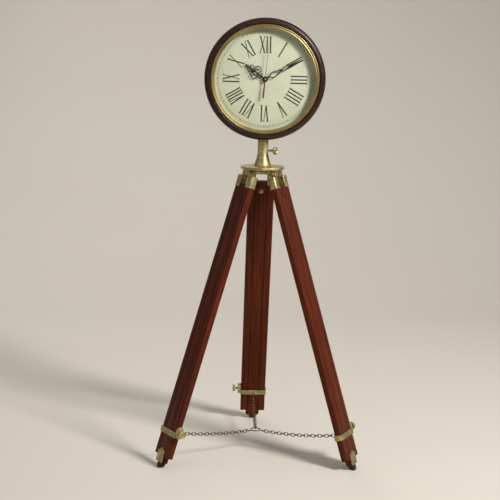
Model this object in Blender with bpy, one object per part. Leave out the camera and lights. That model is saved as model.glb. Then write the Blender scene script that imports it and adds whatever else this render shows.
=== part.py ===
"""Floor clock: a round wooden clock on a brass head with three wooden tripod legs.

Metres, +Z up, the dial faces -Y. Each leg is drawn in a frame of its own: the origin is on its
hinge, X points outward, Y runs across the leg and -Z runs down it.
"""

import math

import bmesh
import bpy
from mathutils import Matrix, Vector

# Clearances that all pieces share
FIT_GAP = 0.0003
RUN_GAP = 0.0003
OVERRUN = 0.002
MERGE_DISTANCE = 0.000001

# Tripod stance
HINGE_HEIGHT = 0.740
HINGE_RADIUS = 0.0398
LEG_TILT = math.radians(18.2)
LEG_AZIMUTHS = {"back": 90, "left": 210, "right": 330}

# Head plate, above the hinges
HINGE_DROP = 0.010
PLATE_OVERHANG = 0.0159
PLATE_THICKNESS = 0.007
PLATE_EDGE = 0.0015
LUG_WIDTH = 0.0285
LUG_RADIUS = 0.009

# Neck socket and its nut
NECK_RADIUS = 0.0125
NECK_HEIGHT = 0.0645
NECK_FLARE_HEIGHT = 0.030
NECK_LIP = 0.001
NECK_FOOT_RADIUS = 0.02075
NECK_FOOT_EDGE = 0.003
NECK_FLOOR_THICKNESS = 0.009
STUD_RADIUS = 0.006
STUD_LENGTH = 0.015
NECK_NUT_FLATS = 0.018
NECK_NUT_HEIGHT = 0.006

# Thumb screws at the neck and at the leg clamps
NECK_SCREW_RISE = 0.041
NECK_SCREW_AZIMUTH = -32
NECK_SCREW_REACH = 0.0325
SCREW_RADIUS = 0.003
SCREW_DISC_RADIUS = 0.0097
SCREW_DISC_THICKNESS = 0.0065
SCREW_DISC_EDGE = 0.0015
SCREW_DISH_DEPTH = 0.0018
CLAMP_SCREW_STEM = 0.008

# Clock case, measured from the dial's centre
CASE_RADIUS = 0.1525
CASE_DEPTH = 0.056
MOULDING_WIDTH = 0.016
BAND_WIDTH = 0.004
BAND_STEP = 0.0022
BEAD_RISE = 0.006
SIDE_INSET = 0.0012
BACK_BEAD = 0.007
BACK_EDGE = 0.001
LEDGE_WIDTH = 0.009
CASE_STEPS = 40

# Bezel, glass and dial
BEZEL_WIDTH = 0.0105
BEZEL_FLANGE = 0.003
BEZEL_RECESS = 0.001
BEZEL_ROUND = 0.001
GLASS_LAP = 0.0028
BEZEL_WALL = 0.002
GLASS_THICKNESS = 0.0018
DIAL_SETBACK = 0.016
DIAL_THICKNESS = 0.001

# Back board
BOARD_THICKNESS = 0.006
BOARD_MARGIN = 0.0125
ACCESS_RADIUS = 0.045

# Stem between the case and the neck socket
STEM_RADIUS = 0.0083
STEM_BOTTOM_GAP = 0.0005
STEM_FLANGE_RADIUS = 0.0145
STEM_FLANGE_THICKNESS = 0.0032
STEM_SEAT_DEPTH = 0.0008
STEM_BOLT_RADIUS = 0.005
STEM_NUT_FLATS = 0.014
STEM_NUT_HEIGHT = 0.006
STEM_BOLT_SPARE = 0.002
STEM_NUT_TO_DIAL = 0.003

# Quartz movement, its nut, cell and setting knob
MOVEMENT_SIDE = 0.056
MOVEMENT_DEPTH = 0.0165
MOVEMENT_EDGE = 0.002
BUSH_RADIUS = 0.004
BUSH_PROUD = 0.0035
BUSH_BORE_DEPTH = 0.010
DIAL_NUT_FLATS = 0.012
DIAL_NUT_HEIGHT = 0.0025
CELL_RADIUS = 0.0071
CELL_LENGTH = 0.0495
CELL_NUB_RADIUS = 0.00275
CELL_NUB = 0.001
CELL_DROP = 0.0175
KNOB_RISE = 0.0115
KNOB_RADIUS = 0.006
KNOB_THICKNESS = 0.0045
KNOB_SHAFT_RADIUS = 0.0015
KNOB_SHAFT_DEPTH = 0.004
KNOB_TEETH = 12
KNOB_TOOTH = 0.0007

# Hands, as lengths from the dial's centre
SECOND_PIN_RADIUS = 0.0007
TUBE_WALL = 0.0007
TUBE_DEPTH = 0.006
HAND_THICKNESS = 0.0008
HAND_SPACING = 0.0022
BAR_SHARE = 0.7
HOUR_HUB_RADIUS = 0.005
HOUR_STEM_WIDTH = 0.0024
HOUR_LOOP_BAR = 0.0018
HOUR_LOOP_RADIUS = 0.0085
HOUR_LOOP_AT = 0.028
HOUR_DOT_OUT = 0.007
HOUR_DOT_RADIUS = 0.0017
HOUR_DOT_ARM = 0.001
HOUR_TOP_LOOP_AT = 0.0423
HOUR_TOP_LOOP_WIDTH = 0.0186
HOUR_TOP_LOOP_LENGTH = 0.015
HOUR_BLADE_LENGTH = 0.0125
HOUR_CROSS_WIDTH = 0.009
HOUR_CROSS_SHARE = 0.4
HOUR_WIDEST_SHARE = 0.72
HOUR_BLADE_WIDTH = 0.0044
HOUR_ANGLE = 305
MINUTE_HUB_RADIUS = 0.007
MINUTE_HUB_THICKNESS = 0.0018
MINUTE_STEM_WIDTH = 0.0028
MINUTE_LOOP_BAR = 0.0019
MINUTE_DROP_START = 0.012
MINUTE_DROP_END = 0.047
MINUTE_DROP_WIDTH = 0.0122
MINUTE_DROP_TAPER_SHARE = 0.5
MINUTE_CROSS_WIDTH = 0.0115
MINUTE_CROSS_RISE = 0.0035
MINUTE_LOOP_END = 0.067
MINUTE_LOOP_WIDTH = 0.010
MINUTE_LOOP_TAPER_SHARE = -0.15
MINUTE_BLADE_LENGTH = 0.038
MINUTE_BLADE_WIDTH = 0.0032
MINUTE_ANGLE = 60
SECOND_CAP_RADIUS = 0.003
SECOND_CAP_THICKNESS = 0.0018
SECOND_TIP = 0.105
SECOND_TAIL = 0.048
SECOND_NEEDLE_WIDTH = 0.0012
SECOND_TAIL_WIDTH = 0.0032
SECOND_ANGLE = 5
HAND_TIP_WIDTH = 0.0005

# Leg: two outer rails and a sliding middle strip
RAIL_WIDTH = 0.018
STRIP_WIDTH = 0.032
LEG_THICKNESS = 0.017
LEG_EDGE = 0.001
RAIL_LIFT = 0.0295
TONGUE_HEIGHT = 0.003
TONGUE_THICKNESS = 0.006
STRIP_START = 0.0625
TIP_HEIGHT = 0.013

# Ferrules, hinge bolt and spacer at the top of the leg
FERRULE_START = 0.008
FERRULE_CAP = 0.004
FERRULE_END = 0.038
FERRULE_WALL = 0.001
FERRULE_BEAD = 0.0035
FERRULE_BEAD_PROUD = 0.0007
EAR_THICKNESS = 0.005
EAR_RADIUS = 0.0078
HINGE_BOLT_RADIUS = 0.003
HINGE_BOLT_HEAD_FLATS = 0.010
HINGE_BOLT_HEAD_HEIGHT = 0.004
HINGE_BOLT_SPARE = 0.0015
SPACER_START = 0.030
SPACER_END = 0.062
SPACER_RIVET_RADIUS = 0.0045
SPACER_RIVET_RISE = 0.0018

# Clamp band near the foot of the leg, with its screw boss and chain eye
BAND_LIFT = 0.092
BAND_HEIGHT = 0.014
BAND_WALL = 0.002
BOSS_ABOVE_BAND = 0.0165
BOSS_THICKNESS = 0.009
BOSS_WIDTH = 0.016
EYE_THICKNESS = 0.0025
EYE_REACH = 0.004
EYE_RADIUS = 0.0036
EYE_HOLE_RADIUS = 0.0016

# Shoe plate and iron tip at the foot of the leg
SHOE_WIDTH = 0.030
SHOE_HEIGHT = 0.038
SHOE_POINT_HEIGHT = 0.010
SHOE_THICKNESS = 0.0016
TIP_WIDTH = 0.022
TIP_THICKNESS = 0.014
TIP_ROUND = 0.008

# Chains and the ring that they meet in
WIRE_RADIUS = 0.001
LINK_HALF_WIDTH = 0.004
LINK_END_HALF_WIDTH = 0.002
LINK_BITE = 0.0007
WIRE_SIDES = 4
CHAIN_LINKS = {"back": 24, "left": 23, "right": 23}
RING_RADIUS = 0.0125
RING_WIRE_RADIUS = 0.0014
FRONT_CHAIN_STAND_OFF = 0.002

# Route of a chain from its eye to the ring, as (distance from the tripod's axis, height)
CHAIN_ROUTE = [
    (0.2403, 0.0828), (0.2250, 0.0794), (0.2097, 0.0762), (0.1944, 0.0732),
    (0.1790, 0.0704), (0.1636, 0.0679), (0.1482, 0.0657), (0.1328, 0.0636),
    (0.1174, 0.0618), (0.1020, 0.0603), (0.0866, 0.0590), (0.0712, 0.0579),
    (0.0558, 0.0571), (0.0404, 0.0565), (0.0250, 0.0561), (0.0098, 0.0560),
]

# Places that follow from the sizes above
LEG_LENGTH = HINGE_HEIGHT / math.cos(LEG_TILT)
RAIL_END = LEG_LENGTH - RAIL_LIFT
STRIP_END = LEG_LENGTH - TIP_HEIGHT
BAND_CENTRE = LEG_LENGTH - BAND_LIFT
PLATE_RADIUS = HINGE_RADIUS + PLATE_OVERHANG
PLATE_BOTTOM = HINGE_HEIGHT + HINGE_DROP
PLATE_TOP = PLATE_BOTTOM + PLATE_THICKNESS
NECK_FOOT = PLATE_TOP + FIT_GAP
NECK_TOP = PLATE_TOP + NECK_HEIGHT
NECK_FLOOR = PLATE_TOP + NECK_FLOOR_THICKNESS
NECK_SCREW_HEIGHT = PLATE_TOP + NECK_SCREW_RISE
STEM_SEAT = STEM_SEAT_DEPTH - CASE_RADIUS
DIAL_HEIGHT = NECK_TOP + RUN_GAP + STEM_FLANGE_THICKNESS + FIT_GAP - STEM_SEAT
BOARD_RADIUS = CASE_RADIUS - BOARD_MARGIN
DIAL_BACK = -STEM_NUT_FLATS / 2 - STEM_NUT_TO_DIAL
DIAL_FRONT = DIAL_BACK - DIAL_THICKNESS
BEZEL_FRONT = DIAL_FRONT - DIAL_SETBACK
CASE_FRONT = BEZEL_FRONT - BEZEL_RECESS
CASE_BACK = CASE_FRONT + CASE_DEPTH
BEZEL_RADIUS = CASE_RADIUS - MOULDING_WIDTH
BEZEL_INNER_RADIUS = BEZEL_RADIUS - BEZEL_WIDTH
GLASS_RADIUS = BEZEL_INNER_RADIUS + GLASS_LAP
SKIRT_RADIUS = GLASS_RADIUS + FIT_GAP + BEZEL_WALL
WELL_RADIUS = SKIRT_RADIUS + FIT_GAP
LEDGE_RADIUS = WELL_RADIUS - LEDGE_WIDTH
LEDGE_FRONT = DIAL_BACK + FIT_GAP
REBATE_FRONT = CASE_BACK - BOARD_THICKNESS - FIT_GAP
MOVEMENT_FRONT = DIAL_BACK + FIT_GAP
MOVEMENT_BACK = MOVEMENT_FRONT + MOVEMENT_DEPTH
BUSH_FRONT = DIAL_FRONT - BUSH_PROUD
MINUTE_BORE = SECOND_PIN_RADIUS + RUN_GAP
MINUTE_TUBE_RADIUS = MINUTE_BORE + TUBE_WALL
HOUR_BORE = MINUTE_TUBE_RADIUS + RUN_GAP
HOUR_TUBE_RADIUS = HOUR_BORE + TUBE_WALL
BUSH_BORE = HOUR_TUBE_RADIUS + RUN_GAP
RAIL_INNER = STRIP_WIDTH / 2 + FIT_GAP
RAIL_OUTER = RAIL_INNER + RAIL_WIDTH
FERRULE_INNER = RAIL_INNER - FIT_GAP - FERRULE_WALL
FERRULE_OUTER = RAIL_OUTER + FIT_GAP + FERRULE_WALL
FERRULE_HALF_THICKNESS = LEG_THICKNESS / 2 + FIT_GAP + FERRULE_WALL
EAR_INNER = LUG_WIDTH / 2 + RUN_GAP
EAR_OUTER = EAR_INNER + EAR_THICKNESS
BAND_INNER_Y = RAIL_OUTER + FIT_GAP
BAND_INNER_X = LEG_THICKNESS / 2 + FIT_GAP
BAND_OUTER_Y = BAND_INNER_Y + BAND_WALL
BAND_OUTER_X = BAND_INNER_X + BAND_WALL
EYE_X = -BAND_OUTER_X - EYE_REACH
CLAMP_SCREW_Z = BOSS_ABOVE_BAND / 2 - BAND_CENTRE


def make_material(name, colour, metallic, roughness):
    material = bpy.data.materials.new(name)
    material.use_nodes = True
    shader = material.node_tree.nodes["Principled BSDF"]
    shader.inputs["Base Color"].default_value = (*colour, 1)
    shader.inputs["Metallic"].default_value = metallic
    shader.inputs["Roughness"].default_value = roughness
    return material


def add_empty(name, parent, place):
    empty = bpy.data.objects.new(name, None)
    bpy.context.scene.collection.objects.link(empty)
    empty.parent = parent
    empty.matrix_basis = place
    return empty


def add_piece(name, bm, material, parent, place=Matrix()):
    """An object made of the bmesh, with its faces pointing out and its round sides smooth."""
    bmesh.ops.recalc_face_normals(bm, faces=bm.faces)
    mesh = bpy.data.meshes.new(name)
    bm.to_mesh(mesh)
    bm.free()
    mesh.shade_smooth()
    mesh.set_sharp_from_angle(angle=math.radians(35))
    if material:
        mesh.materials.append(material)
    piece = bpy.data.objects.new(name, mesh)
    bpy.context.scene.collection.objects.link(piece)
    piece.parent = parent
    piece.matrix_basis = place
    return piece


def combine(piece, bm, operation):
    """Cuts the shape from the piece or joins it on, by a Boolean with a hidden helper."""
    count = len(piece.modifiers)
    helper = add_piece(f"{piece.name}_{operation.lower()}_{count}", bm, None, piece)
    helper.hide_render = True
    helper.display_type = "WIRE"
    modifier = piece.modifiers.new(f"{operation.title()} {count}", "BOOLEAN")
    modifier.operation = operation
    modifier.solver = "EXACT"
    modifier.object = helper


def cut(piece, bm):
    combine(piece, bm, "DIFFERENCE")


def join(piece, bm):
    combine(piece, bm, "UNION")


def arc(centre, radius, start, end, steps):
    """Points on a circle from one angle to another, in degrees."""
    angles = [math.radians(start + (end - start) * i / steps) for i in range(steps + 1)]
    return [(centre[0] + radius * math.cos(a), centre[1] + radius * math.sin(a)) for a in angles]


def rectangle(half_a, half_b):
    return [(-half_a, -half_b), (half_a, -half_b), (half_a, half_b), (-half_a, half_b)]


def hexagon(flats):
    corner = flats / math.sqrt(3)
    return arc((0, 0), corner, 0, 300, 5)


def prism(outline, start, end, axis="Z"):
    """The outline, drawn across the axis, extruded along it."""
    order = {"X": (2, 0, 1), "Y": (0, 2, 1), "Z": (0, 1, 2)}[axis]
    bm = bmesh.new()
    corners = [bm.verts.new([(a, b, start)[i] for i in order]) for a, b in outline]
    face = bm.faces.new(corners)
    made = bmesh.ops.extrude_face_region(bm, geom=[face])["geom"]
    moved = [v for v in made if isinstance(v, bmesh.types.BMVert)]
    bmesh.ops.translate(bm, verts=moved, vec=[(0, 0, end - start)[i] for i in order])
    return bm


def lathe(profile, steps, axis="Z"):
    """The profile of (radius, place along the axis) points, spun into a closed solid."""
    bm = bmesh.new()
    points = [bm.verts.new((radius, 0, along)) for radius, along in profile]
    pairs = zip(points, points[1:] + points[:1])
    edges = [bm.edges.new(pair) for pair in pairs if pair[0].co.x > 0 or pair[1].co.x > 0]
    bmesh.ops.spin(bm, geom=points + edges, cent=(0, 0, 0), axis=(0, 0, 1),
                   angle=math.tau, steps=steps, use_merge=True)
    bmesh.ops.remove_doubles(bm, verts=bm.verts, dist=MERGE_DISTANCE)
    turns = {"X": Matrix.Rotation(math.pi / 2, 4, "Y"), "Y": Matrix.Rotation(-math.pi / 2, 4, "X")}
    if axis in turns:
        bmesh.ops.transform(bm, verts=bm.verts, matrix=turns[axis])
    return bm


def rod(radius, start, end, steps, axis="Z"):
    return lathe([(0, start), (radius, start), (radius, end), (0, end)], steps, axis)


def move(bm, x=0.0, y=0.0, z=0.0):
    bmesh.ops.translate(bm, verts=bm.verts, vec=(x, y, z))
    return bm


def soften(bm, width, steps=1):
    bmesh.ops.recalc_face_normals(bm, faces=bm.faces)
    bmesh.ops.bevel(bm, geom=bm.edges[:], offset=width, segments=steps, profile=0.5,
                    affect="EDGES", clamp_overlap=True)
    return bm


def flat_loop(centre, half_width, half_length, bar, thickness, front, taper=0.0, steps=14):
    """A flat oval wire loop in the plane of the dial, widest near its foot if its taper is above zero."""
    bm = bmesh.new()
    rings = []
    for inset, y in ((0, front), (0, front + thickness), (bar, front + thickness), (bar, front)):
        ring = []
        for i in range(steps):
            turn = math.tau * i / steps
            width = (half_width - inset) * (1 + taper * math.cos(turn))
            x = centre[0] + width * math.sin(turn)
            z = centre[1] - (half_length - inset) * math.cos(turn)
            ring.append(bm.verts.new((x, y, z)))
        rings.append(ring)
    for ring, following in zip(rings, rings[1:] + rings[:1]):
        for i in range(steps):
            j = (i + 1) % steps
            bm.faces.new((ring[i], ring[j], following[j], following[i]))
    return bm


def thumb_screw(tip, stem_end):
    """A screw along X with a plain shank and a thick dished disc for the thumb."""
    end = stem_end + SCREW_DISC_THICKNESS
    rim = SCREW_DISC_RADIUS - SCREW_DISC_EDGE
    profile = [
        (0, tip), (SCREW_RADIUS, tip), (SCREW_RADIUS, stem_end), (rim, stem_end),
        (SCREW_DISC_RADIUS, stem_end + SCREW_DISC_EDGE), (SCREW_DISC_RADIUS, end - SCREW_DISC_EDGE),
        (rim, end), (rim - SCREW_DISC_EDGE, end - SCREW_DISH_DEPTH / 2), (0, end - SCREW_DISH_DEPTH),
    ]
    return lathe(profile, 12, "X")


def add_head_plate(root, brass):
    bottom_ring = PLATE_RADIUS - PLATE_EDGE
    profile = [
        (0, PLATE_BOTTOM), (bottom_ring, PLATE_BOTTOM), (PLATE_RADIUS, PLATE_BOTTOM + PLATE_EDGE),
        (PLATE_RADIUS, PLATE_TOP - PLATE_EDGE), (bottom_ring, PLATE_TOP), (0, PLATE_TOP),
    ]
    plate = add_piece("head_plate", lathe(profile, 30), brass, root)
    foot = PLATE_BOTTOM + PLATE_THICKNESS / 2
    round_end = arc((HINGE_RADIUS, HINGE_HEIGHT), LUG_RADIUS, 180, 360, 8)
    outline = round_end + [(HINGE_RADIUS + LUG_RADIUS, foot), (HINGE_RADIUS - LUG_RADIUS, foot)]
    turns = [Matrix.Rotation(math.radians(azimuth), 4, "Z") for azimuth in LEG_AZIMUTHS.values()]
    for turn in turns:
        lug = prism(outline, -LUG_WIDTH / 2, LUG_WIDTH / 2, "Y")
        bmesh.ops.transform(lug, verts=lug.verts, matrix=turn)
        join(plate, lug)
    for turn in turns:
        bore_half = LUG_WIDTH / 2 + OVERRUN
        bore = rod(HINGE_BOLT_RADIUS + RUN_GAP, -bore_half, bore_half, 12, "Y")
        move(bore, x=HINGE_RADIUS, z=HINGE_HEIGHT)
        bmesh.ops.transform(bore, verts=bore.verts, matrix=turn)
        cut(plate, bore)
    cut(plate, rod(STUD_RADIUS + FIT_GAP, PLATE_BOTTOM - OVERRUN, PLATE_TOP + OVERRUN, 16))
    return plate


def add_neck(root, brass, steel):
    """The turned socket, flared to its foot, with a stud and nut through the head plate."""
    foot = NECK_FOOT
    flare_height = NECK_FLARE_HEIGHT - NECK_FOOT_EDGE
    flare_width = NECK_FOOT_RADIUS - NECK_RADIUS
    flare_shares = [(1, 0), (0.62, 0.12), (0.34, 0.32), (0.12, 0.62), (0, 1)]
    flare = [(NECK_RADIUS + flare_width * wide, foot + NECK_FOOT_EDGE + flare_height * high)
             for wide, high in flare_shares]
    bore = STEM_RADIUS + RUN_GAP
    profile = [(0, foot - STUD_LENGTH), (STUD_RADIUS, foot - STUD_LENGTH), (STUD_RADIUS, foot)]
    profile += [(NECK_FOOT_RADIUS, foot)] + flare
    profile += [(NECK_RADIUS, NECK_TOP - NECK_LIP), (NECK_RADIUS - NECK_LIP, NECK_TOP)]
    profile += [(bore, NECK_TOP), (bore, NECK_FLOOR), (0, NECK_FLOOR)]
    socket = add_piece("neck_socket", lathe(profile, 20), brass, root)
    turn = Matrix.Rotation(math.radians(NECK_SCREW_AZIMUTH), 4, "Z")
    hole = rod(SCREW_RADIUS + RUN_GAP, 0, NECK_RADIUS + OVERRUN, 16, "X")
    bmesh.ops.transform(hole, verts=hole.verts, matrix=turn)
    cut(socket, move(hole, z=NECK_SCREW_HEIGHT))

    nut_top = PLATE_BOTTOM - FIT_GAP
    nut_bottom = nut_top - NECK_NUT_HEIGHT
    nut = add_piece("neck_nut", prism(hexagon(NECK_NUT_FLATS), nut_bottom, nut_top), steel, root)
    cut(nut, rod(STUD_RADIUS + FIT_GAP, nut_bottom - OVERRUN, nut_top + OVERRUN, 16))


def add_neck_screw(root, brass):
    place = Matrix.Translation((0, 0, NECK_SCREW_HEIGHT))
    place = place @ Matrix.Rotation(math.radians(NECK_SCREW_AZIMUTH), 4, "Z")
    pivot = add_empty("neck_screw_axis", root, place)
    screw = thumb_screw(STEM_RADIUS + FIT_GAP, NECK_SCREW_REACH)
    add_piece("neck_thumb_screw", screw, brass, pivot)


def add_case_ring(clock, wood):
    """The turned wooden ring: a bead and an inner band in front, rebates inside for what it holds."""
    bead_half = (MOULDING_WIDTH - BAND_WIDTH) / 2
    bead_centre = CASE_RADIUS - bead_half
    bead_base = CASE_FRONT + BEAD_RISE
    bead = [(bead_centre - bead_half * math.cos(a), bead_base - BEAD_RISE * math.sin(a))
            for a in (math.pi * i / 6 for i in range(7))]
    band = CASE_FRONT + BAND_STEP
    flange_floor = BEZEL_FRONT + BEZEL_FLANGE + FIT_GAP
    side = CASE_RADIUS - SIDE_INSET
    profile = [(BEZEL_RADIUS, band), (BEZEL_RADIUS + BAND_WIDTH, band)] + bead
    profile += [(side, bead_base + SIDE_INSET), (side, CASE_BACK - BACK_BEAD - SIDE_INSET)]
    profile += [(CASE_RADIUS, CASE_BACK - BACK_BEAD), (CASE_RADIUS, CASE_BACK - BACK_EDGE)]
    profile += [(CASE_RADIUS - BACK_EDGE, CASE_BACK), (BOARD_RADIUS, CASE_BACK)]
    profile += [(BOARD_RADIUS, REBATE_FRONT), (LEDGE_RADIUS, REBATE_FRONT)]
    profile += [(LEDGE_RADIUS, LEDGE_FRONT), (WELL_RADIUS, LEDGE_FRONT)]
    profile += [(WELL_RADIUS, flange_floor), (BEZEL_RADIUS, flange_floor)]
    ring = add_piece("case_ring", lathe(profile, CASE_STEPS, "Y"), wood, clock)

    cut(ring, rod(STEM_FLANGE_RADIUS + FIT_GAP, -CASE_RADIUS - OVERRUN, STEM_SEAT, 24))
    bolt_hole = rod(STEM_BOLT_RADIUS + FIT_GAP, -CASE_RADIUS - OVERRUN, OVERRUN - LEDGE_RADIUS, 16)
    cut(ring, bolt_hole)
    nut_seat = -LEDGE_RADIUS - STEM_SEAT_DEPTH
    cut(ring, rod(STEM_NUT_FLATS / 2 + OVERRUN, nut_seat, OVERRUN - LEDGE_RADIUS, 16))


def add_bezel_and_glass(clock, brass, glass):
    glass_front = BEZEL_FRONT + BEZEL_FLANGE / 2
    outer = BEZEL_RADIUS - FIT_GAP
    skirt_end = DIAL_FRONT - FIT_GAP
    seat_radius = GLASS_RADIUS + FIT_GAP
    profile = [
        (BEZEL_INNER_RADIUS, glass_front), (BEZEL_INNER_RADIUS, BEZEL_FRONT + BEZEL_ROUND),
        (BEZEL_INNER_RADIUS + BEZEL_ROUND, BEZEL_FRONT), (outer - BEZEL_ROUND, BEZEL_FRONT),
        (outer, BEZEL_FRONT + BEZEL_ROUND), (outer, BEZEL_FRONT + BEZEL_FLANGE),
        (SKIRT_RADIUS, BEZEL_FRONT + BEZEL_FLANGE), (SKIRT_RADIUS, skirt_end),
        (seat_radius, skirt_end), (seat_radius, glass_front),
    ]
    add_piece("bezel", lathe(profile, CASE_STEPS, "Y"), brass, clock)
    pane_front = glass_front + FIT_GAP
    pane = rod(GLASS_RADIUS, pane_front, pane_front + GLASS_THICKNESS, CASE_STEPS, "Y")
    add_piece("glass", pane, glass, clock)


def add_dial(clock, paint):
    hole = BUSH_RADIUS + FIT_GAP
    radius = WELL_RADIUS - FIT_GAP
    profile = [(hole, DIAL_FRONT), (radius, DIAL_FRONT), (radius, DIAL_BACK), (hole, DIAL_BACK)]
    add_piece("dial", lathe(profile, CASE_STEPS, "Y"), paint, clock)


def add_back_board(clock, wood):
    front = REBATE_FRONT + FIT_GAP
    radius = BOARD_RADIUS - FIT_GAP
    profile = [(ACCESS_RADIUS, front), (radius, front), (radius, CASE_BACK), (ACCESS_RADIUS, CASE_BACK)]
    add_piece("back_board", lathe(profile, CASE_STEPS, "Y"), wood, clock)


def add_stem(clock, brass, steel):
    """The turned stem: it is bolted up through the case and swivels in the neck socket."""
    flange_top = STEM_SEAT - FIT_GAP
    flange_bottom = flange_top - STEM_FLANGE_THICKNESS
    bottom = NECK_FLOOR - DIAL_HEIGHT + STEM_BOTTOM_GAP
    nut_bottom = -LEDGE_RADIUS - STEM_SEAT_DEPTH + FIT_GAP
    nut_top = nut_bottom + STEM_NUT_HEIGHT
    bolt_top = nut_top + STEM_BOLT_SPARE
    profile = [
        (0, bottom), (STEM_RADIUS, bottom), (STEM_RADIUS, flange_bottom),
        (STEM_FLANGE_RADIUS, flange_bottom), (STEM_FLANGE_RADIUS, flange_top),
        (STEM_BOLT_RADIUS, flange_top), (STEM_BOLT_RADIUS, bolt_top), (0, bolt_top),
    ]
    add_piece("clock_stem", lathe(profile, 20), brass, clock)
    nut = add_piece("stem_nut", prism(hexagon(STEM_NUT_FLATS), nut_bottom, nut_top), steel, clock)
    cut(nut, rod(STEM_BOLT_RADIUS + FIT_GAP, nut_bottom - OVERRUN, nut_top + OVERRUN, 16))


def add_movement(clock, plastic, brass, cell_steel):
    """The square quartz movement behind the dial, its bush and nut, and the cell in its back."""
    half = MOVEMENT_SIDE / 2
    body = prism(rectangle(half, half), MOVEMENT_FRONT, MOVEMENT_BACK, "Y")
    movement = add_piece("quartz_movement", soften(body, MOVEMENT_EDGE), plastic, clock)
    bush = rod(BUSH_RADIUS, BUSH_FRONT, MOVEMENT_FRONT + MOVEMENT_DEPTH / 2, 16, "Y")
    join(movement, bush)
    cut(movement, rod(BUSH_BORE, BUSH_FRONT - OVERRUN, BUSH_FRONT + BUSH_BORE_DEPTH, 16, "Y"))

    cell_y = MOVEMENT_BACK - CELL_RADIUS - FIT_GAP
    slot_half_length = CELL_LENGTH / 2 + CELL_NUB + FIT_GAP
    slot_half_height = CELL_RADIUS + FIT_GAP
    slot_front = cell_y - CELL_RADIUS - FIT_GAP
    slot = prism(rectangle(slot_half_length, slot_half_height), slot_front, MOVEMENT_BACK + OVERRUN, "Y")
    cut(movement, move(slot, z=-CELL_DROP))
    knob_bore = rod(KNOB_SHAFT_RADIUS + RUN_GAP, MOVEMENT_BACK - KNOB_SHAFT_DEPTH - RUN_GAP,
                    MOVEMENT_BACK + OVERRUN, 12, "Y")
    cut(movement, move(knob_bore, z=KNOB_RISE))

    end = CELL_LENGTH / 2
    profile = [(0, -end), (CELL_RADIUS, -end), (CELL_RADIUS, end), (CELL_NUB_RADIUS, end)]
    profile += [(CELL_NUB_RADIUS, end + CELL_NUB), (0, end + CELL_NUB)]
    cell = move(lathe(profile, 20, "X"), y=cell_y, z=-CELL_DROP)
    add_piece("battery", cell, cell_steel, clock)

    nut_front = DIAL_FRONT - FIT_GAP - DIAL_NUT_HEIGHT
    nut_back = DIAL_FRONT - FIT_GAP
    nut = add_piece("dial_nut", prism(hexagon(DIAL_NUT_FLATS), nut_front, nut_back, "Y"), brass, clock)
    cut(nut, rod(BUSH_RADIUS + FIT_GAP, nut_front - OVERRUN, nut_back + OVERRUN, 16, "Y"))


def add_set_knob(clock, plastic):
    """The toothed knob in the back of the movement that sets the hands."""
    pivot = add_empty("set_knob_axis", clock, Matrix.Translation((0, 0, KNOB_RISE)))
    near = MOVEMENT_BACK + RUN_GAP
    outline = []
    for i in range(2 * KNOB_TEETH):
        radius = KNOB_RADIUS - KNOB_TOOTH * (i % 2)
        turn = math.pi * i / KNOB_TEETH
        outline.append((radius * math.cos(turn), radius * math.sin(turn)))
    knob = add_piece("set_knob", prism(outline, near, near + KNOB_THICKNESS, "Y"), plastic, pivot)
    shaft_end = near + KNOB_THICKNESS / 2
    join(knob, rod(KNOB_SHAFT_RADIUS, MOVEMENT_BACK - KNOB_SHAFT_DEPTH, shaft_end, 12, "Y"))


def bar(points, front, thickness):
    """A flat bar of the given outline, thinner than the loops that it joins."""
    inset = thickness * (1 - BAR_SHARE) / 2
    return prism(points, front + inset, front + thickness - inset, "Y")


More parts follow.
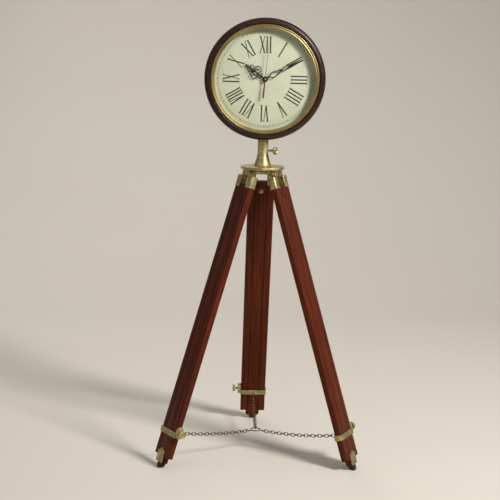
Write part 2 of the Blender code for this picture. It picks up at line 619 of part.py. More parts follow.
def add_hour_hand(clock, black):
    """Two side loops with a dot in each, a broad third loop, a cross and a spade tip on one spine."""
    turn = Matrix.Rotation(math.radians(HOUR_ANGLE), 4, "Y")
    pivot = add_empty("hour_axis", clock, turn)
    front = BUSH_FRONT - RUN_GAP - HAND_THICKNESS
    back = BUSH_FRONT + TUBE_DEPTH
    profile = [(HOUR_BORE, front), (HOUR_HUB_RADIUS, front), (HOUR_HUB_RADIUS, front + HAND_THICKNESS)]
    profile += [(HOUR_TUBE_RADIUS, front + HAND_THICKNESS), (HOUR_TUBE_RADIUS, back), (HOUR_BORE, back)]
    hand = add_piece("hour_hand", lathe(profile, 16, "Y"), black, pivot)
    spread = HOUR_LOOP_RADIUS + FIT_GAP
    for side in (-1, 1):
        join(hand, flat_loop((side * spread, HOUR_LOOP_AT), HOUR_LOOP_RADIUS, HOUR_LOOP_RADIUS,
                             HOUR_LOOP_BAR, HAND_THICKNESS, front))
        dot = rod(HOUR_DOT_RADIUS, front, front + HAND_THICKNESS, 8, "Y")
        join(hand, move(dot, x=side * HOUR_DOT_OUT, z=HOUR_LOOP_AT))
    top_front = front + HAND_THICKNESS * (1 - BAR_SHARE) / 3
    join(hand, flat_loop((0, HOUR_TOP_LOOP_AT), HOUR_TOP_LOOP_WIDTH / 2, HOUR_TOP_LOOP_LENGTH / 2,
                         HOUR_LOOP_BAR, HAND_THICKNESS * (1 + BAR_SHARE) / 2, top_front))

    half = HOUR_STEM_WIDTH / 2
    arm_low = HOUR_LOOP_AT - HOUR_DOT_ARM / 2
    arm_high = HOUR_LOOP_AT + HOUR_DOT_ARM / 2
    loop_end = HOUR_TOP_LOOP_AT + HOUR_TOP_LOOP_LENGTH / 2
    cross = HOUR_CROSS_WIDTH / 2
    cross_low = loop_end + HOUR_BLADE_LENGTH * HOUR_CROSS_SHARE - HOUR_LOOP_BAR / 2
    cross_high = cross_low + HOUR_LOOP_BAR
    widest = loop_end + HOUR_BLADE_LENGTH * HOUR_WIDEST_SHARE
    spine = [(half, (HOUR_HUB_RADIUS + HOUR_BORE) / 2), (half, arm_low), (HOUR_DOT_OUT, arm_low)]
    spine += [(HOUR_DOT_OUT, arm_high), (half, arm_high), (half, cross_low), (cross, cross_low)]
    spine += [(cross, cross_high), (half, cross_high), (HOUR_BLADE_WIDTH / 2, widest)]
    spine.append((HAND_TIP_WIDTH / 2, loop_end + HOUR_BLADE_LENGTH))
    spine += [(-x, z) for x, z in reversed(spine)]
    join(hand, bar(spine, front, HAND_THICKNESS))


def add_minute_hand(clock, black):
    """A hub, a drop-shaped loop, a leaning cross, a second loop and a slender blade."""
    turn = Matrix.Rotation(math.radians(MINUTE_ANGLE), 4, "Y")
    pivot = add_empty("minute_axis", clock, turn)
    front = BUSH_FRONT - RUN_GAP - HAND_THICKNESS - HAND_SPACING
    hub_front = front + HAND_THICKNESS - MINUTE_HUB_THICKNESS
    hub_back = front + HAND_THICKNESS
    back = BUSH_FRONT + TUBE_DEPTH
    profile = [(MINUTE_BORE, hub_front), (MINUTE_HUB_RADIUS, hub_front), (MINUTE_HUB_RADIUS, hub_back)]
    profile += [(MINUTE_TUBE_RADIUS, hub_back), (MINUTE_TUBE_RADIUS, back), (MINUTE_BORE, back)]
    hand = add_piece("minute_hand", lathe(profile, 20, "Y"), black, pivot)
    half = MINUTE_STEM_WIDTH / 2
    bar_width = MINUTE_LOOP_BAR
    stem_start = (MINUTE_HUB_RADIUS + MINUTE_BORE) / 2
    stem_end = MINUTE_DROP_START + bar_width / 2
    stem = [(-half, stem_start), (half, stem_start), (half, stem_end), (-half, stem_end)]
    join(hand, bar(stem, front, HAND_THICKNESS))
    drop_half = (MINUTE_DROP_END - MINUTE_DROP_START) / 2
    drop_centre = (0, MINUTE_DROP_START + drop_half)
    join(hand, flat_loop(drop_centre, MINUTE_DROP_WIDTH / 2, drop_half, bar_width,
                         HAND_THICKNESS, front, taper=MINUTE_DROP_TAPER_SHARE))
    cross = MINUTE_CROSS_WIDTH / 2
    low = MINUTE_DROP_END - bar_width
    high = MINUTE_DROP_END + bar_width / 3
    rise = MINUTE_CROSS_RISE
    leaning = [(-cross, low - rise), (cross, low + rise), (cross, high + rise), (-cross, high - rise)]
    join(hand, bar(leaning, front, HAND_THICKNESS))
    loop_half = (MINUTE_LOOP_END - low) / 2
    loop_centre = (0, low + loop_half)
    join(hand, flat_loop(loop_centre, MINUTE_LOOP_WIDTH / 2, loop_half, bar_width,
                         HAND_THICKNESS, front, taper=MINUTE_LOOP_TAPER_SHARE))
    blade = [(MINUTE_BLADE_WIDTH / 2, MINUTE_LOOP_END - bar_width / 2)]
    blade.append((HAND_TIP_WIDTH / 2, MINUTE_LOOP_END + MINUTE_BLADE_LENGTH))
    blade += [(-x, z) for x, z in reversed(blade)]
    join(hand, bar(blade, front, HAND_THICKNESS))


def add_second_hand(clock, red):
    """A fine needle with a broad tail and a round cap, on a pin through the minute tube."""
    pivot = add_empty("second_axis", clock, Matrix.Rotation(math.radians(SECOND_ANGLE), 4, "Y"))
    minute_front = BUSH_FRONT - RUN_GAP - HAND_SPACING - MINUTE_HUB_THICKNESS
    cap_back = minute_front - RUN_GAP
    cap_front = cap_back - SECOND_CAP_THICKNESS
    profile = [(0, cap_front), (SECOND_CAP_RADIUS, cap_front), (SECOND_CAP_RADIUS, cap_back)]
    profile += [(SECOND_PIN_RADIUS, cap_back), (SECOND_PIN_RADIUS, BUSH_FRONT + TUBE_DEPTH)]
    profile += [(0, BUSH_FRONT + TUBE_DEPTH)]
    hand = add_piece("second_hand", lathe(profile, 16, "Y"), red, pivot)
    needle = SECOND_NEEDLE_WIDTH / 2
    tail = SECOND_TAIL_WIDTH / 2
    tip = HAND_TIP_WIDTH / 2
    waist = -2 * SECOND_CAP_RADIUS
    outline = [(tail, -SECOND_TAIL), (tail, waist), (needle, -SECOND_CAP_RADIUS), (tip, SECOND_TIP)]
    outline += [(-x, z) for x, z in reversed(outline)]
    plate_front = cap_front + (SECOND_CAP_THICKNESS - HAND_THICKNESS) / 2
    join(hand, bar(outline, plate_front, HAND_THICKNESS))


def add_rail(name, leg, side, wood):
    """One outer rail, grooved down its inner face for the strip's tongue."""
    half = LEG_THICKNESS / 2
    groove = TONGUE_THICKNESS / 2 + FIT_GAP
    floor = RAIL_INNER + TONGUE_HEIGHT
    top = -FERRULE_START - FERRULE_CAP - FIT_GAP
    outline = [
        (-half, RAIL_INNER), (-groove, RAIL_INNER), (-groove, floor), (groove, floor),
        (groove, RAIL_INNER), (half, RAIL_INNER), (half, RAIL_OUTER - LEG_EDGE),
        (half - LEG_EDGE, RAIL_OUTER), (LEG_EDGE - half, RAIL_OUTER), (-half, RAIL_OUTER - LEG_EDGE),
    ]
    outline = [(x, side * y) for x, y in outline]
    add_piece(name, prism(outline, -RAIL_END, top), wood, leg)


def add_ferrule(name, leg, side, brass):
    """The brass socket on a rail's top end, with a hinge ear and a bead round its mouth."""
    half = FERRULE_HALF_THICKNESS
    middle = (FERRULE_INNER + FERRULE_OUTER) / 2
    half_width = (FERRULE_OUTER - FERRULE_INNER) / 2
    corner = FERRULE_WALL
    outline = [
        (corner - half, -half_width), (half - corner, -half_width), (half, corner - half_width),
        (half, half_width - corner), (half - corner, half_width), (corner - half, half_width),
        (-half, half_width - corner), (-half, corner - half_width),
    ]
    body = prism(outline, -FERRULE_END, -FERRULE_START)
    ferrule = add_piece(name, move(body, y=side * middle), brass, leg)
    proud = FERRULE_BEAD_PROUD
    reach_x = half + proud
    outside = half_width + proud
    inside = half_width - FIT_GAP
    bead_outline = [(-reach_x, -inside), (reach_x, -inside), (reach_x, outside - corner),
                    (reach_x - corner, outside), (corner - reach_x, outside), (-reach_x, outside - corner)]
    bead_outline = [(x, side * (middle + y)) for x, y in bead_outline]
    bead_start = -FERRULE_END + FERRULE_WALL
    join(ferrule, prism(bead_outline, bead_start, bead_start + FERRULE_BEAD))
    neck = -FERRULE_START - FERRULE_CAP / 2
    ear_outline = [(EAR_RADIUS, neck)] + arc((0, 0), EAR_RADIUS, 0, 180, 8) + [(-EAR_RADIUS, neck)]
    ears = sorted((side * EAR_INNER, side * EAR_OUTER))
    join(ferrule, prism(ear_outline, *ears, "Y"))
    pocket_half = LEG_THICKNESS / 2 + FIT_GAP
    pocket = prism(rectangle(pocket_half, RAIL_WIDTH / 2 + FIT_GAP), -FERRULE_END - OVERRUN,
                   -FERRULE_START - FERRULE_CAP)
    cut(ferrule, move(pocket, y=side * (RAIL_INNER + RAIL_OUTER) / 2))
    hole_ends = sorted((side * (EAR_INNER - OVERRUN), side * (EAR_OUTER + OVERRUN)))
    cut(ferrule, rod(HINGE_BOLT_RADIUS + FIT_GAP, *hole_ends, 12, "Y"))


def add_hinge_bolt(prefix, leg, steel):
    """A bolt through both ears and the lug, with its nut on the other side."""
    head_near = EAR_OUTER + FIT_GAP
    nut_far = -EAR_OUTER - FIT_GAP - HINGE_BOLT_HEAD_HEIGHT
    shank = rod(HINGE_BOLT_RADIUS, nut_far - HINGE_BOLT_SPARE, head_near + FIT_GAP, 12, "Y")
    bolt = add_piece(f"{prefix}_hinge_bolt", shank, steel, leg)
    head = prism(hexagon(HINGE_BOLT_HEAD_FLATS), head_near, head_near + HINGE_BOLT_HEAD_HEIGHT, "Y")
    join(bolt, head)
    nut_near = nut_far + HINGE_BOLT_HEAD_HEIGHT
    nut_body = prism(hexagon(HINGE_BOLT_HEAD_FLATS), nut_far, nut_near, "Y")
    nut = add_piece(f"{prefix}_hinge_nut", nut_body, steel, leg)
    hole = rod(HINGE_BOLT_RADIUS + FIT_GAP, nut_far - OVERRUN, nut_near + OVERRUN, 12, "Y")
    cut(nut, hole)


def add_spacer(prefix, leg, wood):
    """The block that holds the rails apart below the ferrules, with a round rivet head."""
    half = LEG_THICKNESS / 2
    wide = STRIP_WIDTH / 2
    narrow = FERRULE_INNER - FIT_GAP
    step = -FERRULE_END - FIT_GAP
    outline = [(-wide, -SPACER_END), (wide, -SPACER_END), (wide, step), (narrow, step),
               (narrow, -SPACER_START), (-narrow, -SPACER_START), (-narrow, step), (-wide, step)]
    spacer = add_piece(f"{prefix}_spacer", prism(outline, -half, half, "X"), wood, leg)
    rivet_z = -SPACER_END + 2 * SPACER_RIVET_RADIUS
    dome_shares = [(1, 0), (0.92, 0.45), (0.66, 0.8), (0, 1)]
    dome = [(SPACER_RIVET_RADIUS * wide_share, half + SPACER_RIVET_RISE * high_share)
            for wide_share, high_share in dome_shares]
    rivet = lathe([(0, 0), (SPACER_RIVET_RADIUS, 0)] + dome, 12, "X")
    bmesh.ops.scale(rivet, verts=rivet.verts, vec=(-1, 1, 1))
    join(spacer, move(rivet, z=rivet_z))


def add_clamp(prefix, leg, brass):
    """The band round the leg, with a boss for its thumb screw and an eye for the chain."""
    low = -BAND_CENTRE - BAND_HEIGHT / 2
    high = -BAND_CENTRE + BAND_HEIGHT / 2
    band = prism(rectangle(BAND_OUTER_X, BAND_OUTER_Y), low, high)
    clamp = add_piece(f"{prefix}_clamp_band", band, brass, leg)
    boss_top = high + BOSS_ABOVE_BAND
    boss_half = BOSS_WIDTH / 2
    boss_outline = arc((0, boss_top - boss_half), boss_half, 0, 180, 8)
    boss_outline += arc((0, low + boss_half), boss_half, 180, 360, 8)
    join(clamp, prism(boss_outline, BAND_INNER_Y, BAND_INNER_Y + BOSS_THICKNESS, "Y"))
    eye_foot = -BAND_INNER_X - BAND_WALL / 2
    eye_outline = [(eye_foot, -BAND_CENTRE - EYE_RADIUS)]
    eye_outline += [(eye_foot, -BAND_CENTRE + EYE_RADIUS)]
    eye_outline += arc((EYE_X, -BAND_CENTRE), EYE_RADIUS, 90, 270, 8)
    join(clamp, prism(eye_outline, -EYE_THICKNESS / 2, EYE_THICKNESS / 2, "Y"))
    cut(clamp, prism(rectangle(BAND_INNER_X, BAND_INNER_Y), low - OVERRUN, high + OVERRUN))
    screw_hole = rod(SCREW_RADIUS + RUN_GAP, BAND_INNER_Y - OVERRUN,
                     BAND_INNER_Y + BOSS_THICKNESS + OVERRUN, 12, "Y")
    cut(clamp, move(screw_hole, z=CLAMP_SCREW_Z))
    eye_hole = rod(EYE_HOLE_RADIUS, -EYE_THICKNESS, EYE_THICKNESS, 12, "Y")
    cut(clamp, move(eye_hole, x=EYE_X, z=-BAND_CENTRE))


def add_clamp_screw(prefix, leg, brass):
    place = Matrix.Translation((0, 0, CLAMP_SCREW_Z)) @ Matrix.Rotation(math.pi / 2, 4, "Z")
    pivot = add_empty(f"{prefix}_clamp_screw_axis", leg, place)
    stem_end = BAND_INNER_Y + BOSS_THICKNESS + CLAMP_SCREW_STEM
    screw = thumb_screw(RAIL_OUTER + FIT_GAP, stem_end)
    add_piece(f"{prefix}_clamp_screw", screw, brass, pivot)


def add_inner_strip(prefix, slider, wood):
    """The sliding middle strip with a tongue along each edge."""
    half = LEG_THICKNESS / 2
    wide = STRIP_WIDTH / 2
    tongue = TONGUE_THICKNESS / 2
    reach = RAIL_INNER + TONGUE_HEIGHT - FIT_GAP
    side = [(half, wide), (tongue, wide), (tongue, reach), (-tongue, reach), (-tongue, wide), (-half, wide)]
    outline = side + [(-x, -y) for x, y in side]
    strip = prism(outline, -STRIP_END, -STRIP_START)
    add_piece(f"{prefix}_inner_strip", strip, wood, slider)


def add_shoe(prefix, slider, brass):
    """The plate with a pointed top on the outer face of the strip's foot."""
    near = LEG_THICKNESS / 2 + FIT_GAP
    half = SHOE_WIDTH / 2
    top = -STRIP_END + SHOE_HEIGHT
    shoulder = top - SHOE_POINT_HEIGHT
    outline = [(-half, -STRIP_END), (half, -STRIP_END), (half, shoulder), (0, top), (-half, shoulder)]
    add_piece(f"{prefix}_shoe", prism(outline, near, near + SHOE_THICKNESS, "X"), brass, slider)


def add_tip(prefix, slider, iron):
    """The iron tip, rounded across the leg and cut level with the floor."""
    half = TIP_THICKNESS / 2
    reach = TIP_WIDTH / 2
    across_shares = [-1, -0.93, -0.78, -0.5, 0.5, 0.78, 0.93, 1]
    lift_shares = [1, 0.55, 0.22, 0, 0, 0.22, 0.55, 1]
    bm = bmesh.new()
    rows = []
    for x in (-half, half):
        row = []
        for across, lift in zip(across_shares, lift_shares):
            height = lift * TIP_ROUND
            z = (height - HINGE_HEIGHT - x * math.sin(LEG_TILT)) / math.cos(LEG_TILT)
            row.append(bm.verts.new((x, across * reach, z)))
        top = -STRIP_END - FIT_GAP
        row += [bm.verts.new((x, reach, top)), bm.verts.new((x, -reach, top))]
        bm.faces.new(row)
        rows.append(row)
    for i in range(len(rows[0])):
        j = (i + 1) % len(rows[0])
        bm.faces.new((rows[0][i], rows[0][j], rows[1][j], rows[1][i]))
    add_piece(f"{prefix}_tip", bm, iron, slider)


def route_points():
    """The chain's route from its eye, in the plane of its leg."""
    start = CHAIN_ROUTE[0]
    return [Vector((radius - start[0], 0, height - start[1])) for radius, height in CHAIN_ROUTE]


def place_on_route(points, distance):
    """The point at a distance along the route and the direction that the route has there."""
    for near, far in zip(points, points[1:]):
        step = (far - near).length
        if distance <= step or far is points[-1]:
            direction = (far - near).normalized()
            return near + direction * distance, direction
        distance -= step


def add_link(bm, centre, along, across, half_length):
    """One closed wire link: a long hexagon of round wire, with flat ends."""
    flat = LINK_END_HALF_WIDTH
    half = [(half_length, flat), (0, LINK_HALF_WIDTH), (-half_length, flat)]
    path = half + [(u, -v) for u, v in reversed(half)]
    normal = along.cross(across)
    rings = []
    for i, (u, v) in enumerate(path):
        before, after = Vector(path[i - 1]), Vector(path[(i + 1) % len(path)])
        here = Vector((u, v))
        bend = (here - before).normalized() + (after - here).normalized()
        outward = Vector((bend.y, -bend.x)).normalized()
        if outward.dot(here) < 0:
            outward.negate()
        stretch = 1 / (bend.length / 2)
        side = along * outward.x + across * outward.y
        ring = []
        for k in range(WIRE_SIDES):
            turn = math.tau * k / WIRE_SIDES
            offset = side * (WIRE_RADIUS * stretch * math.cos(turn))
            offset += normal * (WIRE_RADIUS * math.sin(turn))
            ring.append(bm.verts.new(centre + along * u + across * v + offset))
        rings.append(ring)
    for i, ring in enumerate(rings):
        following = rings[(i + 1) % len(rings)]
        for k in range(WIRE_SIDES):
            j = (k + 1) % WIRE_SIDES
            bm.faces.new((ring[k], ring[j], following[j], following[k]))


def add_chain(prefix, pivot, side, brass):
    """A wire chain: every other link is turned a quarter, and neighbours are joined where they bear."""
    points = route_points()
    length = sum((far - near).length for near, far in zip(points, points[1:]))
    if side != "back":
        inside_end = RING_RADIUS - RING_WIRE_RADIUS - FIT_GAP - WIRE_RADIUS
        outside_end = RING_RADIUS + RING_WIRE_RADIUS + FRONT_CHAIN_STAND_OFF + WIRE_RADIUS
        length -= outside_end - inside_end
    links = CHAIN_LINKS[side]
    overlap = 2 * WIRE_RADIUS - LINK_BITE
    pitch = (length - overlap) / links
    half_length = (pitch + overlap) / 2
    across = Vector((0, 1, 0))
    shells = [bmesh.new(), bmesh.new()]
    for k in range(links):
        centre, along = place_on_route(points, half_length + k * pitch)
        upright = along.cross(across)
        add_link(shells[k % 2], centre, along, across if k % 2 == 0 else upright, half_length)
    chain = add_piece(f"{prefix}_chain", shells[0], brass, pivot)
    join(chain, shells[1])


def add_chain_ring(pivot, brass):
    end = route_points()[-1]
    profile = arc((RING_RADIUS, 0), RING_WIRE_RADIUS, 0, 300, 5)
    ring = lathe(profile, 18)
    x = end.x - (RING_RADIUS - RING_WIRE_RADIUS - FIT_GAP - WIRE_RADIUS)
    add_piece("chain_ring", move(ring, x=x, z=end.z), brass, pivot)


def add_leg(root, side, materials):
    prefix = f"{side}_leg"
    azimuth = math.radians(LEG_AZIMUTHS[side])
    turn = Matrix.Rotation(azimuth, 4, "Z")
    hinge = turn @ Matrix.Translation((HINGE_RADIUS, 0, HINGE_HEIGHT))
    leg = add_empty(f"{prefix}_fold", root, hinge @ Matrix.Rotation(-LEG_TILT, 4, "Y"))
    slider = add_empty(f"{prefix}_extend", leg, Matrix())
    for hand, sign in (("left", -1), ("right", 1)):
        add_rail(f"{prefix}_rail_{hand}", leg, sign, materials["leg wood"])
        add_ferrule(f"{prefix}_ferrule_{hand}", leg, sign, materials["brass"])
    add_hinge_bolt(prefix, leg, materials["dark steel"])
    add_spacer(prefix, leg, materials["leg wood"])
    add_clamp(prefix, leg, materials["brass"])
    add_clamp_screw(prefix, leg, materials["brass"])
    add_inner_strip(prefix, slider, materials["leg wood"])
    add_shoe(prefix, slider, materials["brass"])
    add_tip(prefix, slider, materials["black iron"])
    eye = Matrix.Translation((EYE_X, 0, -BAND_CENTRE)) @ Matrix.Rotation(LEG_TILT, 4, "Y")
    swing = add_empty(f"{side}_chain_swing", leg, eye)
    add_chain(prefix, swing, side, materials["brass"])
    if side == "back":
        add_chain_ring(swing, materials["brass"])


def add_clock(root, materials):
    clock = add_empty("clock_swivel", root, Matrix.Translation((0, 0, DIAL_HEIGHT)))
    add_case_ring(clock, materials["case wood"])
    add_bezel_and_glass(clock, materials["brass"], materials["glass"])
    add_dial(clock, materials["dial paint"])
    add_back_board(clock, materials["case wood"])
    add_stem(clock, materials["brass"], materials["dark steel"])
    add_movement(clock, materials["black plastic"], materials["brass"], materials["bright steel"])
    add_set_knob(clock, materials["black plastic"])
    add_hour_hand(clock, materials["black paint"])
    add_minute_hand(clock, materials["black paint"])
    add_second_hand(clock, materials["red paint"])


def centre_on_floor(root):
    """Moves the root so that the middle of the part's bounding box lies above the origin."""
    bpy.context.view_layer.update()
    graph = bpy.context.evaluated_depsgraph_get()
    corners = []
    for piece in bpy.context.scene.objects:
        if piece.type != "MESH" or piece.hide_render or "chain" in piece.name:
            continue
        evaluated = piece.evaluated_get(graph)
        corners += [evaluated.matrix_world @ vertex.co for vertex in evaluated.data.vertices]
    for axis in (0, 1):
        low = min(corner[axis] for corner in corners)
        high = max(corner[axis] for corner in corners)
        root.location[axis] = -(low + high) / 2


def build():
    for obj in list(bpy.data.objects):
        bpy.data.objects.remove(obj, do_unlink=True)
    materials = {
        "case wood": make_material("case wood", (0.055, 0.022, 0.018), 0, 0.35),
        "leg wood": make_material("leg wood", (0.16, 0.055, 0.030), 0, 0.45),
        "brass": make_material("brass", (0.50, 0.38, 0.15), 1, 0.35),
        "dark steel": make_material("dark steel", (0.08, 0.075, 0.07), 1, 0.45),
        "bright steel": make_material("bright steel", (0.55, 0.55, 0.55), 1, 0.3),
        "black iron": make_material("black iron", (0.012, 0.012, 0.012), 0, 0.5),
        "glass": make_material("glass", (0.9, 0.92, 0.92), 0, 0.05),
        "dial paint": make_material("dial paint", (0.60, 0.60, 0.45), 0, 0.6),
        "black paint": make_material("black paint", (0.012, 0.012, 0.012), 0, 0.45),
        "red paint": make_material("red paint", (0.35, 0.05, 0.05), 0, 0.45),
        "black plastic": make_material("black plastic", (0.02, 0.02, 0.02), 0, 0.5),
    }
    root = add_empty("tripod_head", None, Matrix())
    add_head_plate(root, materials["brass"])
    add_neck(root, materials["brass"], materials["dark steel"])
    add_neck_screw(root, materials["brass"])
    add_clock(root, materials)
    for side in LEG_AZIMUTHS:
        add_leg(root, side, materials)
    centre_on_floor(root)


build()
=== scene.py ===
import math

import bmesh
import bpy
import numpy as np
from mathutils import Matrix, Vector


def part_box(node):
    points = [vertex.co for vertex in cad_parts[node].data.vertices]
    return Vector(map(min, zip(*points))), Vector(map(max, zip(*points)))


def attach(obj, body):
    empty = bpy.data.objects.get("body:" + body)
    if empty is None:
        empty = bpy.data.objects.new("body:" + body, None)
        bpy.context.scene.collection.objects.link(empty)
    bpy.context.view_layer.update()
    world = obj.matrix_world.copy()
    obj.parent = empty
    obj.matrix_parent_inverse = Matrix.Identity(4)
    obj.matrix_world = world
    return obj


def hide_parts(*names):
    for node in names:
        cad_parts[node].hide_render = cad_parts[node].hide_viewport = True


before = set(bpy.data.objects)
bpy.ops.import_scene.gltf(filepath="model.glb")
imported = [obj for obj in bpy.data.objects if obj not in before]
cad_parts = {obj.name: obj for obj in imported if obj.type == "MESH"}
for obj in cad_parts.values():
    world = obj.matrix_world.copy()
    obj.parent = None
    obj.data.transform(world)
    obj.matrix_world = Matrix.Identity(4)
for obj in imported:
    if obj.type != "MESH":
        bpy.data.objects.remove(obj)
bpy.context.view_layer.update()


# Camera and studio lights
# The camera stands 3.1 m from the tripod's axis at the photograph's angle, and leans by 1.4 degrees.
# Three large soft lights make a key from the right, a weak fill from the left and a back light.
CAMERA_DISTANCE, CAMERA_HEIGHT, CAMERA_TURN = 3.089, 1.075, -2.355
CAMERA_LENS, SENSOR_WIDTH = 87.32, 36
pitch, yaw, roll = math.radians(9.856), math.radians(-0.493), math.radians(1.443)


def spin(degrees, axis):
    """The 4 x 4 matrix of a rotation about an axis."""
    return Matrix.Rotation(math.radians(degrees), 4, axis)


def at(x, y, z):
    """The 4 x 4 matrix of a shift."""
    return Matrix.Translation((x, y, z))


def put_in_scene(name, data):
    """A new object in the scene that shows the data."""
    item = bpy.data.objects.new(name, data)
    bpy.context.scene.collection.objects.link(item)
    return item


neck_low, neck_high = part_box("neck_socket")
AXIS = at(0, (neck_low[1] + neck_high[1]) / 2, 0)
ahead = Vector((math.sin(yaw) * math.cos(pitch), math.cos(yaw) * math.cos(pitch), -math.sin(pitch)))
level = Vector((math.cos(yaw), -math.sin(yaw), 0))
upright = level.cross(ahead)
right = level * math.cos(roll) + upright * math.sin(roll)
above = upright * math.cos(roll) - level * math.sin(roll)
aim = Matrix((right, above, -ahead)).transposed().to_4x4()
aim.translation = (0, -CAMERA_DISTANCE, CAMERA_HEIGHT)
camera_data = bpy.data.cameras.new("camera")
camera_data.sensor_width, camera_data.lens = SENSOR_WIDTH, CAMERA_LENS
camera = put_in_scene("camera", camera_data)
camera.matrix_world = AXIS @ spin(CAMERA_TURN, "Z") @ aim
bpy.context.scene.camera = camera
bpy.context.scene.view_settings.view_transform = "Standard"


def shine(name, place, target, size, power, tint, spread=180):
    """A square soft light at a place, turned to a target, whose beam fades at half its spread."""
    data = bpy.data.lights.new(name, "AREA")
    data.shape, data.size, data.energy, data.color = "SQUARE", size, power, tint
    data.spread = math.radians(spread)
    lamp = put_in_scene(name, data)
    lamp.location = place
    lamp.rotation_euler = (Vector(target) - Vector(place)).to_track_quat("-Z", "Y").to_euler()


shine("key_light", (2.3, -2.2, 2.9), (0, 0, 0.7), 0.9, 64, (1.0, 0.965, 0.93), spread=110)
shine("fill_light", (-2.6, -1.7, 1.5), (0, 0, 0.5), 2.2, 5, (0.93, 0.96, 1.0))
shine("back_light", (-0.8, 2.6, 2.4), (0, 0, 0.7), 1.8, 16, (1.0, 0.98, 0.95))


# Floor and backdrop
# A sheet of matt background paper lies on the floor and sweeps up behind the clock in one curve.
# From the side the camera sees a plain room beyond it, in the tone of the sheet's far edge.
SHEET_HALF_WIDTH, SHEET_FRONT, SHEET_TOP, UNDER_FEET = 6.0, -4.0, 6.0, 0.0005
BEND_START, BEND_RADIUS = 1.6, 1.5
ROOM_LIGHT = 0.38


def linear(code):
    """Linear RGBA of an sRGB hex: c / 12.92 up to 0.04045, ((c + 0.055) / 1.055) ^ 2.4 above it."""
    shares = [int(code[i:i + 2], 16) / 255 for i in (0, 2, 4)]
    return [c / 12.92 if c <= 0.04045 else ((c + 0.055) / 1.055) ** 2.4 for c in shares] + [1]


def feed(tree, node, inputs):
    """Sets a shader node's inputs, or links those that are given a socket."""
    for key, value in inputs.items():
        if isinstance(value, bpy.types.NodeSocket):
            tree.links.new(value, node.inputs[key])
        else:
            node.inputs[key].default_value = value


def add(tree, kind, inputs=None, stops=(), **settings):
    """Adds a shader node with its settings and inputs, and a ramp's (place, hex) stops."""
    node = tree.nodes.new("ShaderNode" + kind)
    for key, value in settings.items():
        setattr(node, key, value)
    feed(tree, node, inputs or {})
    if stops:
        while len(node.color_ramp.elements) < len(stops):
            node.color_ramp.elements.new(0.5)
        for element, (place, code) in zip(node.color_ramp.elements, stops):
            element.position, element.color = place, linear(code)
    return node


def new_material(name):
    """A node material, with its tree and the shader that it starts with."""
    material = bpy.data.materials.new(name)
    material.use_nodes = True
    return material, material.node_tree, material.node_tree.nodes["Principled BSDF"]


# Matt paper: dull, with a faint mottle, a third of the sheet wide, so that no part is flat.
sweep_paper, tree, shader = new_material("pale_studio_sweep")
mottle = add(tree, "TexNoise", {"Scale": 3, "Detail": 3})
tone = add(tree, "ValToRGB", {"Fac": mottle.outputs["Fac"]}, [(0.35, "D5CFC4"), (0.65, "DBD6CC")])
feed(tree, shader, {"Base Color": tone.outputs["Color"], "Roughness": 0.9})

bend = np.linspace(0, math.pi / 2, 25)
depth = np.concatenate([[SHEET_FRONT], BEND_START + BEND_RADIUS * np.sin(bend), [BEND_START + BEND_RADIUS]])
rise = np.concatenate([[0.0], BEND_RADIUS - BEND_RADIUS * np.cos(bend), [SHEET_TOP]]) - UNDER_FEET
across = np.tile((-SHEET_HALF_WIDTH, SHEET_HALF_WIDTH), len(depth))
points = np.column_stack([across, np.repeat(depth, 2), np.repeat(rise, 2)])
mesh = bpy.data.meshes.new("studio_sweep")
mesh.from_pydata(points, [], [(i, i + 1, i + 3, i + 2) for i in range(0, len(points) - 2, 2)])
mesh.shade_smooth()
mesh.materials.append(sweep_paper)
put_in_scene("studio_sweep", mesh)

# The room is darkest at the floor, so that polished metal shows a soft gradient.
room = bpy.data.worlds.new("pale_room")
room.use_nodes = True
bpy.context.scene.world = room
tree = room.node_tree
path = add(tree, "LightPath")
seen = add(tree, "Math", {0: path.outputs["Is Camera Ray"], 1: path.outputs["Is Transmission Ray"]},
           operation="MAXIMUM")
direction = add(tree, "TexCoord")
height = add(tree, "SeparateXYZ", {0: direction.outputs["Generated"]})
glow = add(tree, "ValToRGB", {"Fac": height.outputs["Z"]},
           [(0.0, "8C8780"), (0.10, "C9C5BE"), (0.45, "FFFFFF")])
lit = tree.nodes["Background"]
feed(tree, lit, {"Color": glow.outputs["Color"], "Strength": ROOM_LIGHT})
beyond = add(tree, "Background", {"Color": linear("8C8881"), "Strength": 1.0})
mix = add(tree, "MixShader", {0: seen.outputs[0], 1: lit.outputs[0], 2: beyond.outputs[0]})
feed(tree, tree.nodes["World Output"], {"Surface": mix.outputs[0]})


# Chains and ring
# Three chains of brass wire keep the legs from spreading. Each link is a closed oval of round wire,
# every other one turned a quarter, and the back chain ends in the ring that the others reach for.
GAP = 0.0003
LEG_AZIMUTHS = {"back": 90, "left": 210, "right": 330}
WIRE_RADIUS, LINK_HALF_WIDTH, LINK_CORNER, LINK_BITE = 0.001, 0.004, 0.0036, 0.0007
CHAIN_LINKS = {"back": 24, "left": 23, "right": 23}
RING_RADIUS, RING_WIRE_RADIUS, RING_STAND_OFF = 0.0125, 0.0014, 0.002
CHAIN_ROUTE = [
    (0.2403, 0.0828), (0.2250, 0.0794), (0.2097, 0.0762), (0.1944, 0.0732),
    (0.1790, 0.0704), (0.1636, 0.0679), (0.1482, 0.0657), (0.1328, 0.0636),
    (0.1174, 0.0618), (0.1020, 0.0603), (0.0866, 0.0590), (0.0712, 0.0579),
    (0.0558, 0.0571), (0.0404, 0.0565), (0.0250, 0.0561), (0.0098, 0.0560),
]
SCRATCH_MM = 0.526
SHARP_EDGE, WELD = math.radians(38), 1e-7


